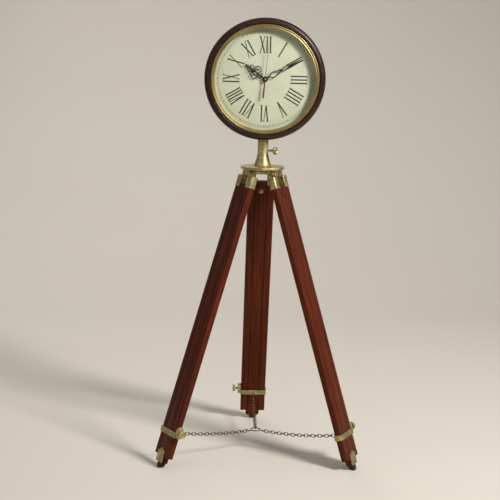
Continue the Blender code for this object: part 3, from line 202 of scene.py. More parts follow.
def aged_finish(name, stops, gloss, patch=14.3, grain=0.00005, metallic=1.0):
    """A worn finish: patches of tone, whose width is given in mm, and fine scratches.

    The patches choose the colour between the stops. Their sum with the scratches moves the
    roughness from gloss - 0.06 to gloss + 0.16, and the scratches raise the face by the grain.
    Real scratches are finer, and are drawn 0.5 mm wide so that they show.
    """
    material, tree, shader = new_material(name)
    place = add(tree, "Attribute", attribute_name="local").outputs["Vector"]
    patches = add(tree, "TexNoise", {"Vector": place, "Scale": 1000 / patch, "Detail": 6, "Roughness": 0.62})
    scratches = add(tree, "TexNoise", {"Vector": place, "Scale": 1000 / SCRATCH_MM, "Detail": 2})
    tone = add(tree, "ValToRGB", {"Fac": patches.outputs["Fac"]}, stops)
    both = add(tree, "Math", {0: patches.outputs["Fac"], 1: scratches.outputs["Fac"]}, operation="ADD")
    rough = add(tree, "MapRange", {"Value": both.outputs[0], "From Min": 0.7, "From Max": 1.3,
                                   "To Min": gloss - 0.06, "To Max": gloss + 0.16})
    face = add(tree, "Bump", {"Height": scratches.outputs["Fac"], "Distance": grain, "Strength": 1.0})
    feed(tree, shader, {"Base Color": tone.outputs["Color"], "Metallic": metallic, "IOR": 1.5,
                        "Roughness": rough.outputs[0], "Normal": face.outputs["Normal"]})
    return material


def grid_faces(rows, columns, close_rows=False):
    """Quads between neighbouring rows and columns of a grid of points, whose columns close round."""
    last = rows if close_rows else rows - 1
    row = np.arange(last)[:, None] * columns
    following = (np.arange(1, last + 1) % rows)[:, None] * columns
    column = np.arange(columns)[None, :]
    beside = (column + 1) % columns
    quads = np.stack([row + column, row + beside, following + beside, following + column], axis=-1)
    return quads.reshape(-1, 4).tolist()


def rounded(corners, steps=5):
    """A closed outline through (a, b, radius) corners, each rounded by an arc of that radius.

    The arc starts radius * tan(turn / 2) before the corner and bends about a centre that lies
    radius / cos(turn / 2) from it, on the line that halves the corner.
    """
    outline = []
    for i, (a, b, radius) in enumerate(corners):
        here = np.array([a, b])
        before = np.array(corners[i - 1][:2]) - here
        after = np.array(corners[(i + 1) % len(corners)][:2]) - here
        before, after = before / np.linalg.norm(before), after / np.linalg.norm(after)
        turn = math.pi - math.acos(max(-1.0, min(1.0, float(before @ after))))
        if radius == 0 or turn < 0.02:
            outline.append(here)
            continue
        middle = (before + after) / np.linalg.norm(before + after)
        centre = here + middle * radius / math.cos(turn / 2)
        start = here + before * radius * math.tan(turn / 2) - centre
        end = here + after * radius * math.tan(turn / 2) - centre
        share = np.linspace(0, 1, steps + 1)[:, None]
        arc = start * (1 - share) + end * share
        outline += list(centre + arc / np.linalg.norm(arc, axis=1)[:, None] * radius)
    return np.array(outline)


def four_sided(half, low, high, low_radius, high_radius, steps=4):
    """The outline of a rectangle from -half to half and low to high, with rounded corners."""
    return rounded([(-half, low, low_radius), (half, low, low_radius),
                    (half, high, high_radius), (-half, high, high_radius)], steps)


def turned(profile, steps=96):
    """A closed profile of (radius, height) turned round Z: x = r cos t, y = r sin t, z = h."""
    profile = np.asarray(profile, float)
    angle = np.linspace(0, math.tau, steps, endpoint=False)
    circle = np.stack([np.cos(angle), np.sin(angle)], axis=-1)
    heights = np.repeat(profile[:, None, 1:], steps, axis=1)
    points = np.concatenate([profile[:, None, :1] * circle, heights], axis=-1)
    return points.reshape(-1, 3), grid_faces(len(profile), steps, close_rows=True)


def wire_loop(outline, radius, sides=8):
    """Round wire round a flat outline: p + radius * (cos t * outward normal + sin t * Z)."""
    ahead = np.roll(outline, -1, axis=0) - np.roll(outline, 1, axis=0)
    ahead /= np.linalg.norm(ahead, axis=1)[:, None]
    outward = np.stack([ahead[:, 1], -ahead[:, 0]], axis=-1)
    angle = np.linspace(0, math.tau, sides, endpoint=False)
    flat = outline[:, None] + outward[:, None] * (radius * np.cos(angle))[None, :, None]
    rise = np.broadcast_to(radius * np.sin(angle), flat.shape[:2])
    points = np.concatenate([flat, rise[..., None]], axis=-1)
    return points.reshape(-1, 3), grid_faces(len(outline), sides, close_rows=True)


def moved(shell, matrix):
    """The shell's points turned and shifted by a matrix: p R^T + t."""
    points, faces = shell
    return points @ np.array(matrix.to_3x3()).T + np.array(matrix.translation), faces


def make_piece(name, shells, material, body, place, replaces=None, shift=0.0, grain="Z"):
    """A mesh object of closed shells, put in place by a matrix, that rides on a body.

    Each point keeps its own place, before the matrix, as "local" for the patterns. It is turned so
    that the axis named by grain becomes Z, and shifted so that no two pieces show the same marks.
    """
    starts = np.cumsum([0] + [len(points) for points, _ in shells])
    local = np.vstack([points for points, _ in shells])
    faces = [[v + start for v in face] for (_, own), start in zip(shells, starts.tolist()) for face in own]
    mesh = bpy.data.meshes.new(name)
    mesh.from_pydata(moved((local, faces), place)[0], [], faces)
    pattern = np.roll(local, "ZYX".index(grain), axis=1) + shift
    mesh.attributes.new("local", "FLOAT_VECTOR", "POINT").data.foreach_set("vector", pattern.ravel())
    bm = bmesh.new()
    bm.from_mesh(mesh)
    bmesh.ops.remove_doubles(bm, verts=bm.verts, dist=WELD)
    bmesh.ops.recalc_face_normals(bm, faces=bm.faces)
    bm.to_mesh(mesh)
    bm.free()
    mesh.shade_smooth()
    mesh.set_sharp_from_angle(angle=SHARP_EDGE)
    mesh.materials.append(material)
    piece = put_in_scene(name, mesh)
    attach(piece, body)
    if replaces:
        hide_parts(replaces)
    return piece


# Drawn brass wire, dark from handling: brown, with paler rubbed patches some 6 mm wide.
CHAIN_BRASS = aged_finish("chain_brass", [(0.32, "453716"), (0.5, "6F5C2F"), (0.68, "917C48")], 0.34,
                          patch=6.25)

route = np.array(CHAIN_ROUTE)
route_length = np.concatenate([[0], np.cumsum(np.linalg.norm(np.diff(route, axis=0), axis=1))])


def on_route(distance):
    """The route's (radius, height) at a distance from the eye."""
    return np.array([np.interp(distance, route_length, route[:, i]) for i in (0, 1)])


angle = np.linspace(0, math.tau, 16, endpoint=False)
wire = np.column_stack([RING_RADIUS + RING_WIRE_RADIUS * np.cos(angle), RING_WIRE_RADIUS * np.sin(angle)])
ring = make_piece("ring", [turned(wire, 64)], CHAIN_BRASS, "back_chain",
                  AXIS @ at(0, 0, CHAIN_ROUTE[-1][1]), replaces="chain_ring")

for side, azimuth in LEG_AZIMUTHS.items():
    plane = AXIS @ spin(azimuth, "Z")
    length = route_length[-1]
    if side != "back":
        length -= 2 * (RING_WIRE_RADIUS + WIRE_RADIUS) + RING_STAND_OFF + GAP
    overlap = 2 * WIRE_RADIUS - LINK_BITE
    pitch = (length - overlap) / CHAIN_LINKS[side]
    half = (pitch + overlap) / 2
    oval_link = four_sided(half, -LINK_HALF_WIDTH, LINK_HALF_WIDTH, LINK_CORNER, LINK_CORNER)
    link = wire_loop(oval_link, WIRE_RADIUS)
    links = []
    for k in range(CHAIN_LINKS[side]):
        middle = half + k * pitch
        slope = on_route(middle + pitch / 2) - on_route(middle - pitch / 2)
        along = Vector((slope[0], 0, slope[1])).normalized()
        across = Vector((0, 1, 0)) if k % 2 == 0 else along.cross(Vector((0, 1, 0)))
        lie = Matrix((along, across, along.cross(across))).transposed().to_4x4()
        radius, height = on_route(middle)
        lie.translation = (radius, 0, height)
        links.append(moved(link, lie))
    chain = make_piece(f"{side}_chain_links", links, CHAIN_BRASS, f"{side}_chain", plane,
                       replaces=f"{side}_leg_chain")
    points = [plane @ Vector((r, 0, z)) for r, z in (on_route(d) for d in np.linspace(0, length, 40))]


# Head plate
# A round brass plate under the clock, with three lugs below it that the legs hinge on. The plate is
# turned with softened rims, and the lugs are slabs with a round lower end.
HINGE_HEIGHT, HINGE_RADIUS = 0.740, 0.0398
PLATE_TOP, PLATE_THICKNESS, PLATE_RADIUS, PLATE_HOLE = 0.757, 0.007, 0.0557, 0.004
LUG_RADIUS, LUG_WIDTH, LUG_EDGE = 0.009, 0.0285, 0.0009
ROUND_END = 0.99
UPRIGHT = Matrix(((1, 0, 0, 0), (0, 0, -1, 0), (0, 1, 0, 0), (0, 0, 0, 1)))


def drawn_in(outline, distance):
    """The outline drawn inward: p + distance * (n1 + n2) / (1 + n1 . n2), for its two edges' normals."""
    ahead = np.roll(outline, -1, axis=0) - outline
    ahead /= np.linalg.norm(ahead, axis=1)[:, None]
    behind = np.roll(ahead, 1, axis=0)
    normal = np.stack([-(ahead + behind)[:, 1], (ahead + behind)[:, 0]], axis=-1)
    normal /= np.maximum(1 + (ahead * behind).sum(axis=1), 0.3)[:, None]
    x, y = outline.T
    anticlockwise = np.sum(x * np.roll(y, -1) - np.roll(x, -1) * y) > 0
    return outline + normal * distance * (1 if anticlockwise else -1)


def slab(outline, start, end, edge, steps=3):
    """The outline drawn up from start to end, with both rims rounded by a quarter circle.

    At an angle t on the rim the outline lies edge * (1 - sin t) inside and edge * (1 - cos t)
    from the end.
    """
    outline = np.asarray(outline, float)
    angle = np.linspace(0, math.pi / 2, steps + 1)
    rims = list(zip(edge * (1 - np.cos(angle)), edge * (1 - np.sin(angle))))
    rows = [(start + rise, inset) for rise, inset in rims]
    rows += [(end - rise, inset) for rise, inset in rims[::-1]]
    count = len(outline)
    points = np.concatenate([np.column_stack([drawn_in(outline, inset), np.full(count, height)])
                             for height, inset in rows])
    caps = [list(range(count))[::-1], list(range(count * (len(rows) - 1), count * len(rows)))]
    return points, grid_faces(len(rows), count) + caps


# Cast and turned brass, aged in the air: a satin gloss over soft, olive patches some 22 mm wide.
BRASS = aged_finish("aged_brass", [(0.30, "8A7D56"), (0.48, "AB9E6C"), (0.62, "C9BE92"), (0.76, "B8AC7C")],
                    0.43, patch=22.2)
plate_bottom = PLATE_TOP - PLATE_THICKNESS
disc = rounded([(PLATE_HOLE, plate_bottom, 0), (PLATE_RADIUS, plate_bottom, 0.0016),
                (PLATE_RADIUS, PLATE_TOP, 0.0022), (PLATE_HOLE, PLATE_TOP, 0)], 6)
lug_foot, lug_root = HINGE_HEIGHT - LUG_RADIUS, PLATE_TOP - PLATE_THICKNESS / 2
lug_outline = four_sided(LUG_RADIUS, lug_foot, lug_root, LUG_RADIUS * ROUND_END, 0, 12)
lug = slab(lug_outline + [HINGE_RADIUS, 0], -LUG_WIDTH / 2, LUG_WIDTH / 2, LUG_EDGE)
shells = [turned(disc, 128)]
for azimuth in LEG_AZIMUTHS.values():
    shells.append(moved(lug, spin(azimuth, "Z") @ UPRIGHT))
make_piece("head_plate_brass", shells, BRASS, "head", AXIS, replaces="head_plate")


# Neck socket
# A turned brass post that holds the clock's stem. It flares smoothly to its foot, has a softened lip,
# and is fixed by the stud below it.
NECK_RADIUS, NECK_TOP, STEM_RADIUS, SOCKET_DEPTH = 0.0135, 0.8215, 0.0083, 0.05
NECK_FOOT_RADIUS, FOOT_EDGE, FLARE_HEIGHT, FLARE_BEND = 0.0217, 0.0032, 0.033, 1.7
STUD_RADIUS, STUD_LENGTH = 0.006, 0.015
neck_foot = PLATE_TOP + GAP
bore = STEM_RADIUS + GAP
share = np.linspace(0, 1, 14)
flare = np.column_stack([NECK_RADIUS + (NECK_FOOT_RADIUS - NECK_RADIUS) * (1 - share) ** FLARE_BEND,
                         neck_foot + FOOT_EDGE + FLARE_HEIGHT * share])
edge = rounded([(STUD_RADIUS, neck_foot, 0), (NECK_FOOT_RADIUS, neck_foot, 0.0006),
                (NECK_FOOT_RADIUS, neck_foot + FOOT_EDGE, 0.0012),
                (NECK_FOOT_RADIUS - 0.0016, neck_foot + FOOT_EDGE + 0.0008, 0)], 4)
lip = rounded([(NECK_RADIUS, NECK_TOP - 0.004, 0), (NECK_RADIUS, NECK_TOP, 0.0012),
               (bore, NECK_TOP, 0.0006), (bore, NECK_TOP - SOCKET_DEPTH, 0)], 4)
profile = np.vstack([[[STUD_RADIUS, neck_foot - STUD_LENGTH]], edge[:-1], flare[1:], lip])
make_piece("neck_post", [turned(profile, 96)], BRASS, "head", AXIS, replaces="neck_socket")


# Neck thumb screw
# A plain brass shank with a thick disc to turn it by, rounded at its rims and dished in its outer
# face. It is screwed into the neck and bears on the stem.
SCREW_RADIUS, DISC_RADIUS, DISC_THICKNESS, DISH_DEPTH = 0.003, 0.0097, 0.0065, 0.0018
RIM_WIDTH, DISH_SLOPE = 0.0026, 0.0014
NECK_SCREW_HEIGHT, NECK_SCREW_REACH, NECK_SCREW_AZIMUTH = 0.798, 0.0325, -32
CORE = 0.0004
TO_X = spin(90, "Y")


def thumb_screw(tip, stem_end):
    """A screw turned about X, from its tip to its dished disc, round a core as fine as a hair."""
    end = stem_end + DISC_THICKNESS
    profile = rounded([
        (CORE, tip, 0), (SCREW_RADIUS, tip, 0.0005), (SCREW_RADIUS, stem_end, 0.0004),
        (DISC_RADIUS, stem_end, 0.0018), (DISC_RADIUS, end, 0.0014), (DISC_RADIUS - RIM_WIDTH, end, 0.0010),
        (DISC_RADIUS - RIM_WIDTH - DISH_SLOPE, end - DISH_DEPTH, 0.0016),
        (CORE, end - DISH_DEPTH - 0.0002, 0)])
    return moved(turned(profile, 64), TO_X)


place = AXIS @ at(0, 0, NECK_SCREW_HEIGHT) @ spin(NECK_SCREW_AZIMUTH, "Z")
make_piece("neck_screw_brass", [thumb_screw(bore, NECK_SCREW_REACH)], BRASS, "neck_screw", place,
           replaces="neck_thumb_screw")


# Case ring
# A thick turned ring of dark varnished wood: a broad round that falls away outward in front, and a
# small bead at the back. One profile is turned, and its grain runs across the dial.
CLOCK = AXIS @ at(0, 0, 0.977)
TO_Y = spin(-90, "X")
CASE_RADIUS, CASE_HALF_DEPTH, BEZEL_RADIUS = 0.1525, 0.028, 0.1365
WELL_RADIUS, LEDGE_RADIUS, BOARD_RADIUS = 0.1314, 0.1224, 0.140
LEDGE_FRONT, BEZEL_SEAT, BOARD_SEAT = -0.0097, -0.0237, 0.0217
CREST_WIDTH, CREST_DEPTH, LIP_WIDTH, LIP_DEPTH = 0.013, 0.012, 0.003, 0.0045
SIDE_INSET, BEAD_FRONT, BEAD_COVE = 0.0012, 0.0210, 0.0014
BAND_MM, PORE_MM, WEAR_MM = 6.67, 0.909, 38.5


def varnished_wood(name, stops, gloss, coat, sheen):
    """Hardwood under varnish, with its grain along Z.

    Bands some 7 mm wide and pores are noises drawn out along the grain, and their mean chooses the
    colour. A wide, slow noise wears the gloss, and the pores dent the face. Real pores are finer,
    and are drawn 0.9 mm wide so that they show.
    """
    material, tree, shader = new_material(name)
    place = add(tree, "Attribute", attribute_name="local").outputs["Vector"]
    marks = []
    for width, squeeze, detail in ((BAND_MM, 0.045, {"Detail": 5, "Roughness": 0.6, "Distortion": 0.4}),
                                   (PORE_MM, 0.02, {"Detail": 2}), (WEAR_MM, 0.4, {"Detail": 4})):
        drawn_out = add(tree, "Mapping", {"Vector": place, "Scale": (1, 1, squeeze)}).outputs[0]
        noise = add(tree, "TexNoise", {"Vector": drawn_out, "Scale": 1000 / width, **detail})
        marks.append(noise.outputs["Fac"])
    bands, pores, wear = marks
    both = add(tree, "Math", {0: bands, 1: pores}, operation="ADD").outputs[0]
    mean = add(tree, "Math", {0: both, 1: 0.5}, operation="MULTIPLY").outputs[0]
    tone = add(tree, "ValToRGB", {"Fac": mean}, stops)
    rough = add(tree, "MapRange", {"Value": wear, "From Min": 0.3, "From Max": 0.7,
                                   "To Min": gloss, "To Max": gloss + 0.16})
    face = add(tree, "Bump", {"Height": pores, "Distance": 0.00012, "Strength": 1.0})
    feed(tree, shader, {"Base Color": tone.outputs["Color"], "Roughness": rough.outputs[0], "IOR": 1.5,
                        "Specular IOR Level": sheen, "Coat Weight": coat, "Coat Roughness": 0.28,
                        "Normal": face.outputs["Normal"]})
    return material


# Turned hardwood under dark, polished varnish: nearly black, and brown only where light grazes it.
CASE_WOOD = varnished_wood("dark_case_wood", [(0.36, "170C08"), (0.50, "2A160F"), (0.62, "3D2117")],
                           0.34, coat=0.16, sheen=0.2)
angle = np.linspace(0, math.pi / 2, 18)
crest = CASE_RADIUS - CREST_WIDTH
well = np.array([(WELL_RADIUS, LEDGE_FRONT), (WELL_RADIUS, BEZEL_SEAT), (BEZEL_RADIUS, BEZEL_SEAT)])
inner = np.column_stack([crest - LIP_WIDTH * np.cos(angle),
                         LIP_DEPTH - CASE_HALF_DEPTH - LIP_DEPTH * np.sin(angle)])
outer = np.column_stack([crest + CREST_WIDTH * np.sin(angle),
                         CREST_DEPTH - CASE_HALF_DEPTH - CREST_DEPTH * np.cos(angle)])
side_radius = CASE_RADIUS - SIDE_INSET
rear = rounded([(side_radius, CREST_DEPTH - CASE_HALF_DEPTH + SIDE_INSET, 0.0005),
                (side_radius, BEAD_FRONT - BEAD_COVE, 0.0005), (CASE_RADIUS, BEAD_FRONT, 0.0008),
                (CASE_RADIUS, CASE_HALF_DEPTH, 0.0022), (BOARD_RADIUS, CASE_HALF_DEPTH, 0.0008),
                (BOARD_RADIUS, BOARD_SEAT, 0), (LEDGE_RADIUS, BOARD_SEAT, 0),
                (LEDGE_RADIUS, LEDGE_FRONT, 0)], 6)
make_piece("case_moulding", [turned(np.vstack([well, inner, outer[1:], rear]), 240)], CASE_WOOD,
           "clock", CLOCK @ TO_Y, replaces="case_ring", grain="X")


# Bezel
# A turned brass ring, let into the case: a thin lip over the glass, a groove, a round bead against
# the wood, and the deep inner wall that shows through the glass.
PANE_FRONT, DIAL_FRONT, PANE_SEAT, OPENING = -0.0252, -0.0110, 0.1291, 0.1260
wall, rim, flange = WELL_RADIUS - GAP, BEZEL_RADIUS - GAP, BEZEL_SEAT - GAP

# Turned brass under lacquer: more even than the castings, with broad, faint clouds.
BEZEL_BRASS = aged_finish("bezel_brass", [(0.30, "9A8A5A"), (0.50, "A99968"), (0.70, "B5A675")], 0.40,
                          patch=111)
bezel = rounded([(PANE_SEAT, PANE_FRONT - GAP, 0), (OPENING, PANE_FRONT - GAP, 0), (OPENING, -0.0263, 0.0003),
                 (0.1296, -0.0272, 0.0006), (0.1314, -0.0262, 0.0003), (0.1322, -CASE_HALF_DEPTH, 0.0014),
                 (0.1358, -CASE_HALF_DEPTH, 0.0016), (rim, -0.0262, 0.0004), (rim, flange, 0),
                 (wall, flange, 0), (wall, DIAL_FRONT - GAP, 0), (PANE_SEAT, DIAL_FRONT - GAP, 0)])
make_piece("bezel_ring", [turned(bezel, 240)], BEZEL_BRASS, "clock", CLOCK @ TO_Y,
           replaces="bezel")


# Glass
# A flat round pane of clear glass that sits behind the bezel's lip. It is turned as a thin disc with
# softened rims.
PANE_THICKNESS = 0.0018

# Float glass: clear, and a mirror on its front alone, which shows more at a slant.
clear, tree, shader = new_material("clear_glass")
facing = add(tree, "NewGeometry").outputs["Backfacing"]
fresnel = add(tree, "Fresnel", {"IOR": 1.45}).outputs[0]
slant = add(tree, "Math", {0: fresnel, 1: facing}, operation="SUBTRACT", use_clamp=True)
through = add(tree, "BsdfTransparent", {"Color": linear("F8F8F5")})
mirror = add(tree, "BsdfGlossy", {"Roughness": 0.02})
pane = add(tree, "MixShader", {0: slant.outputs[0], 1: through.outputs[0], 2: mirror.outputs[0]})
feed(tree, tree.nodes["Material Output"], {"Surface": pane.outputs[0]})
pane_back, pane_radius = PANE_FRONT + PANE_THICKNESS, PANE_SEAT - GAP
profile = rounded([(CORE / 2, PANE_FRONT, 0), (pane_radius, PANE_FRONT, 0.0003),
                   (pane_radius, pane_back, 0.0003), (CORE / 2, pane_back, 0)], 3)
make_piece("glass_pane", [turned(profile, 160)], clear, "clock", CLOCK @ TO_Y, replaces="glass")


# Dial
# A thin metal disc with a cream face, held between the bezel's wall and the case's ledge. Its
# numerals and minute track are printed, and stand on it as thin raised ink.
DIAL_BACK, BUSH_HOLE = -0.010, 0.0043
INK_BACK, INK_FRONT, INK_EDGE = 0.01102, 0.01118, 0.00004
NUMERAL_FOOT, NUMERAL_HEIGHT, STROKE, HAIRLINE, SERIF, LEAN = 0.0655, 0.0400, 0.0031, 0.0017, 0.0013, 0.36
TRACK_RADII, TRACK_LINE, TICK_FOOT, TICK_TOP = (0.1168, 0.1204), 0.0006, 0.1170, 0.1206
FIVE_MINUTE_TICK, MINUTE_TICK = 0.0020, 0.0007

# Stoved enamel: cream with a breath of green, half dull, with clouds some 56 mm wide.
enamel, tree, shader = new_material("cream_enamel")
place = add(tree, "Attribute", attribute_name="local").outputs["Vector"]
cloud = add(tree, "TexNoise", {"Vector": place, "Scale": 1000 / 55.6, "Detail": 4})
tone = add(tree, "ValToRGB", {"Fac": cloud.outputs["Fac"]}, [(0.35, "DEE3D0"), (0.65, "E6EBDA")])
feed(tree, shader, {"Base Color": tone.outputs["Color"], "Roughness": 0.42, "IOR": 1.5})
disc = rounded([(BUSH_HOLE, DIAL_FRONT, 0), (wall, DIAL_FRONT, 0.0003), (wall, DIAL_BACK, 0),
                (BUSH_HOLE, DIAL_BACK, 0)], 3)
make_piece("dial_disc", [turned(disc, 160)], enamel, "clock", CLOCK @ TO_Y, replaces="dial")

# For each letter its width, and its strokes: foot and head as shares of its lean, breadth, serif.
LETTERS = {
    "I": (0.0086, [(0, 0, STROKE, 0.0056)]),
    "V": (0.0135, [(0, -1, STROKE, 0.0054), (0, 1, HAIRLINE, 0.0044)]),
    "X": (0.0150, [(1, -1, STROKE, 0.0052), (-1, 1, HAIRLINE, 0.0042)]),
}
SQUEEZED = {"VIII": 0.78}
HOURS = ["XII", "I", "II", "III", "IIII", "V", "VI", "VII", "VIII", "IX", "X", "XI"]


def stroke(low, high, bottom, top, width):
    """A leaning bar of ink between two places, cut level at both ends."""
    half = width / 2
    return slab([(low - half, bottom), (low + half, bottom), (high + half, top), (high - half, top)],
                INK_BACK, INK_FRONT, INK_EDGE, 1)


def numeral(text, squeeze):
    """The strokes and serifs of a Roman numeral whose foot lies on z = 0, centred on x = 0."""
    left = -sum(LETTERS[letter][0] for letter in text) * squeeze / 2
    shells = []
    for letter in text:
        width, strokes = LETTERS[letter]
        width *= squeeze
        middle, lean = left + width / 2, width * LEAN
        for foot, head, breadth, _ in strokes:
            shells.append(stroke(middle + foot * lean, middle + head * lean, 0, NUMERAL_HEIGHT, breadth))
        ends = [(middle + foot * lean, 0, serif) for foot, _, _, serif in strokes if letter != "V"]
        ends += [(middle + head * lean, NUMERAL_HEIGHT, serif) for _, head, _, serif in strokes]
        shells += [stroke(x, x, z - SERIF / 2, z + SERIF / 2, serif) for x, z, serif in ends]
        left += width
    return shells


# Printing ink: a warm black that is dull and slightly uneven.
INK = aged_finish("black_ink", [(0.3, "1E1E16"), (0.7, "303025")], 0.5, metallic=0.0)
numerals = []
for hour, text in enumerate(HOURS):
    spoke = spin(-360 / 12 * hour, "Z") @ at(0, NUMERAL_FOOT, 0)
    numerals += [moved(shell, spoke) for shell in numeral(text, SQUEEZED.get(text, 1.0))]
make_piece("dial_numerals", numerals, INK, "clock", CLOCK @ UPRIGHT)

# The same ink, thinly laid: a grey green that leaves the track fainter than the numerals.
TRACK_INK = aged_finish("grey_green_ink", [(0.3, "767D69"), (0.7, "8A917C")], 0.5, metallic=0.0)
track = [turned([(r, INK_BACK), (r + TRACK_LINE, INK_BACK), (r + TRACK_LINE, INK_FRONT), (r, INK_FRONT)], 160)
         for r in TRACK_RADII]
for minute in range(60):
    tick = stroke(0, 0, TICK_FOOT, TICK_TOP, FIVE_MINUTE_TICK if minute % 5 == 0 else MINUTE_TICK)
    track.append(moved(tick, spin(-360 / 60 * minute, "Z")))
make_piece("minute_track", track, TRACK_INK, "clock", CLOCK @ UPRIGHT)


# Back board
# A flat wooden ring of the case's own wood that closes its back, with a round hole for the fingers.
# It lies in the case's rebate, and its grain runs across.
ACCESS_RADIUS, BOARD_THICKNESS = 0.045, 0.006
board_edge, board_front = BOARD_RADIUS - GAP, BOARD_SEAT + GAP
board_back = board_front + BOARD_THICKNESS
board = rounded([(ACCESS_RADIUS, board_front, 0.0006), (board_edge, board_front, 0.0004),
                 (board_edge, board_back, 0.0006), (ACCESS_RADIUS, board_back, 0.0014)], 4)
make_piece("back_board_wood", [turned(board, 160)], CASE_WOOD, "clock", CLOCK @ TO_Y,
           replaces="back_board", shift=0.31, grain="X")


# Stem
# The turned brass stem that carries the case: a pin in the neck, a softened flange under the wood,
# and a bolt through it.
PIN_FOOT, FLANGE_FOOT, FLANGE_TOP, BOLT_TOP = -0.2107, -0.1552, -0.1520, -0.1148
FLANGE_RADIUS, BOLT_RADIUS = 0.0145, 0.005
stem = rounded([(CORE, PIN_FOOT, 0), (STEM_RADIUS, PIN_FOOT, 0.0008), (STEM_RADIUS, FLANGE_FOOT, 0.0008),
                (FLANGE_RADIUS, FLANGE_FOOT, 0.0010), (FLANGE_RADIUS, FLANGE_TOP, 0.0006),
                (BOLT_RADIUS, FLANGE_TOP, 0), (BOLT_RADIUS, BOLT_TOP, 0.0006), (CORE, BOLT_TOP, 0)])
make_piece("stem_brass", [turned(stem, 72)], BRASS, "clock", CLOCK, replaces="clock_stem")


# Hour hand
# A stamped black hand: a hub, a spine with a cross and a spade tip, two small loops, two side loops
# with a dot curled into each, and a broad loop above. Loops are flat ovals with a hole, the rest slabs.
HOUR_ANGLE, HOUR_BACK, HOUR_FACE, HAND_EDGE = 305, 0.0148, 0.0156, 0.0002


def oval(middle, half_width, half_length, taper=0.0, steps=40):
    """x = w (1 + taper cos t) sin t, z = middle - l cos t: an oval that is widest near its foot."""
    t = np.linspace(0, math.tau, steps, endpoint=False)
    return np.column_stack([middle[0] + half_width * (1 + taper * np.cos(t)) * np.sin(t),
                            middle[1] - half_length * np.cos(t)])


def loop(outline, bar, start, end, edge):
    """The outline with a hole of the same form, a bar's width inside it, and bevelled rims."""
    corners = [(edge, start), (0, start + edge), (0, end - edge), (edge, end),
               (bar - edge, end), (bar, end - edge), (bar, start + edge), (bar - edge, start)]
    rows = [np.column_stack([drawn_in(outline, inset), np.full(len(outline), z)]) for inset, z in corners]
    return np.vstack(rows), grid_faces(len(rows), len(outline), close_rows=True)


def tapered(places):
    """An outline symmetric about X = 0, through (half width, z) places."""
    return np.array([(x, z) for x, z in places] + [(-x, z) for x, z in reversed(places)])


# Stoved black lacquer on thin steel: nearly black, with a soft shine.
BLACK = aged_finish("black_lacquer", [(0.3, "080807"), (0.7, "121110")], 0.38, metallic=0.0)
spine = tapered([(0.0021, 0.003), (0.0018, 0.016), (0.0016, 0.0338), (0.0023, 0.0370), (0.0023, 0.0482),
                 (0.0013, 0.0505), (0.0014, 0.0545), (0.0026, 0.0588), (0.0021, 0.0602), (0.0003, 0.0622)])
cross = tapered([(0.0044, 0.0541), (0.0050, 0.0553), (0.0044, 0.0565)])
arm = np.array([(0, 0.0362), (0.0026, 0.0358), (0.0062, 0.0336), (0.0080, 0.0298), (0.0062, 0.0300),
                (0.0044, 0.0322), (0.0018, 0.0338), (0, 0.0340)])
back, face = HOUR_BACK, HOUR_FACE
parts = [slab(oval((0, 0), 0.005, 0.005), back, face, HAND_EDGE), slab(spine, back, face - 0.0001, HAND_EDGE),
         slab(cross, back, face, HAND_EDGE),
         loop(oval((0, 0.0448), 0.0102, 0.0073, steps=56), 0.0020, back, face + 0.00005, HAND_EDGE)]
for sign in (-1, 1):
    side_loop, dot = oval((0.0084 * sign, 0.0288), 0.0094, 0.0094, steps=48), (0.0072 * sign, 0.0292)
    parts += [loop(side_loop, 0.0022, back, face, HAND_EDGE),
              slab(oval(dot, 0.0024, 0.0024, steps=20), back, face - 0.00005, HAND_EDGE),
              slab(arm * [sign, 1], back, face - 0.00015, HAND_EDGE / 2),
              loop(oval((0.0037 * sign, 0.0148), 0.0038, 0.0038, steps=32), 0.0017, back, face - 0.0002,
                   HAND_EDGE / 2)]
make_piece("hour_hand_openwork", parts, BLACK, "hour",
           CLOCK @ spin(HOUR_ANGLE, "Y") @ UPRIGHT, replaces="hour_hand")


# Minute hand
# A stamped black hand in front of the hour hand: a round hub, a long drop-shaped loop, a leaning
# cross, a second loop and a slender blade.
MINUTE_ANGLE, MINUTE_BACK, MINUTE_FACE = 60, 0.0170, 0.0178
HUB_RADIUS, HUB_FRONT, SPINDLE_HOLE = 0.007, 0.0188, 0.0009
back, face = MINUTE_BACK, MINUTE_FACE
hub = rounded([(SPINDLE_HOLE, back, 0), (HUB_RADIUS, back, 0.0003), (HUB_RADIUS, HUB_FRONT, 0.0007),
               (SPINDLE_HOLE, HUB_FRONT, 0)], 4)
cross = [(-0.0058, 0.0418), (-0.0050, 0.0420), (0.0, 0.0449), (0.0052, 0.0486), (0.0060, 0.0498),
         (0.0052, 0.0508), (0.0, 0.0481), (-0.0052, 0.0442)]
blade = tapered([(0.0018, 0.0672), (0.0024, 0.0705), (0.0019, 0.0850), (0.0012, 0.0980), (0.0003, 0.1045)])
parts = [turned(hub, 64),
         slab(tapered([(0.0022, 0.006), (0.0020, 0.0150)]), back, face, HAND_EDGE),
         loop(oval((0, 0.0302), 0.0070, 0.0168, 0.45, 64), 0.0024, back, face, HAND_EDGE),
         slab(cross, back, face + 0.0001, HAND_EDGE),
         slab(oval((0, 0.0468), 0.0028, 0.0028), back, face + 0.0002, HAND_EDGE),
         loop(oval((0, 0.0592), 0.0053, 0.0098, -0.15, 56), 0.0022, back, face, HAND_EDGE),
         slab(blade, back, face - 0.0001, HAND_EDGE / 2)]
make_piece("minute_hand_openwork", parts, BLACK, "minute",
           CLOCK @ spin(MINUTE_ANGLE, "Y") @ UPRIGHT, replaces="minute_hand")


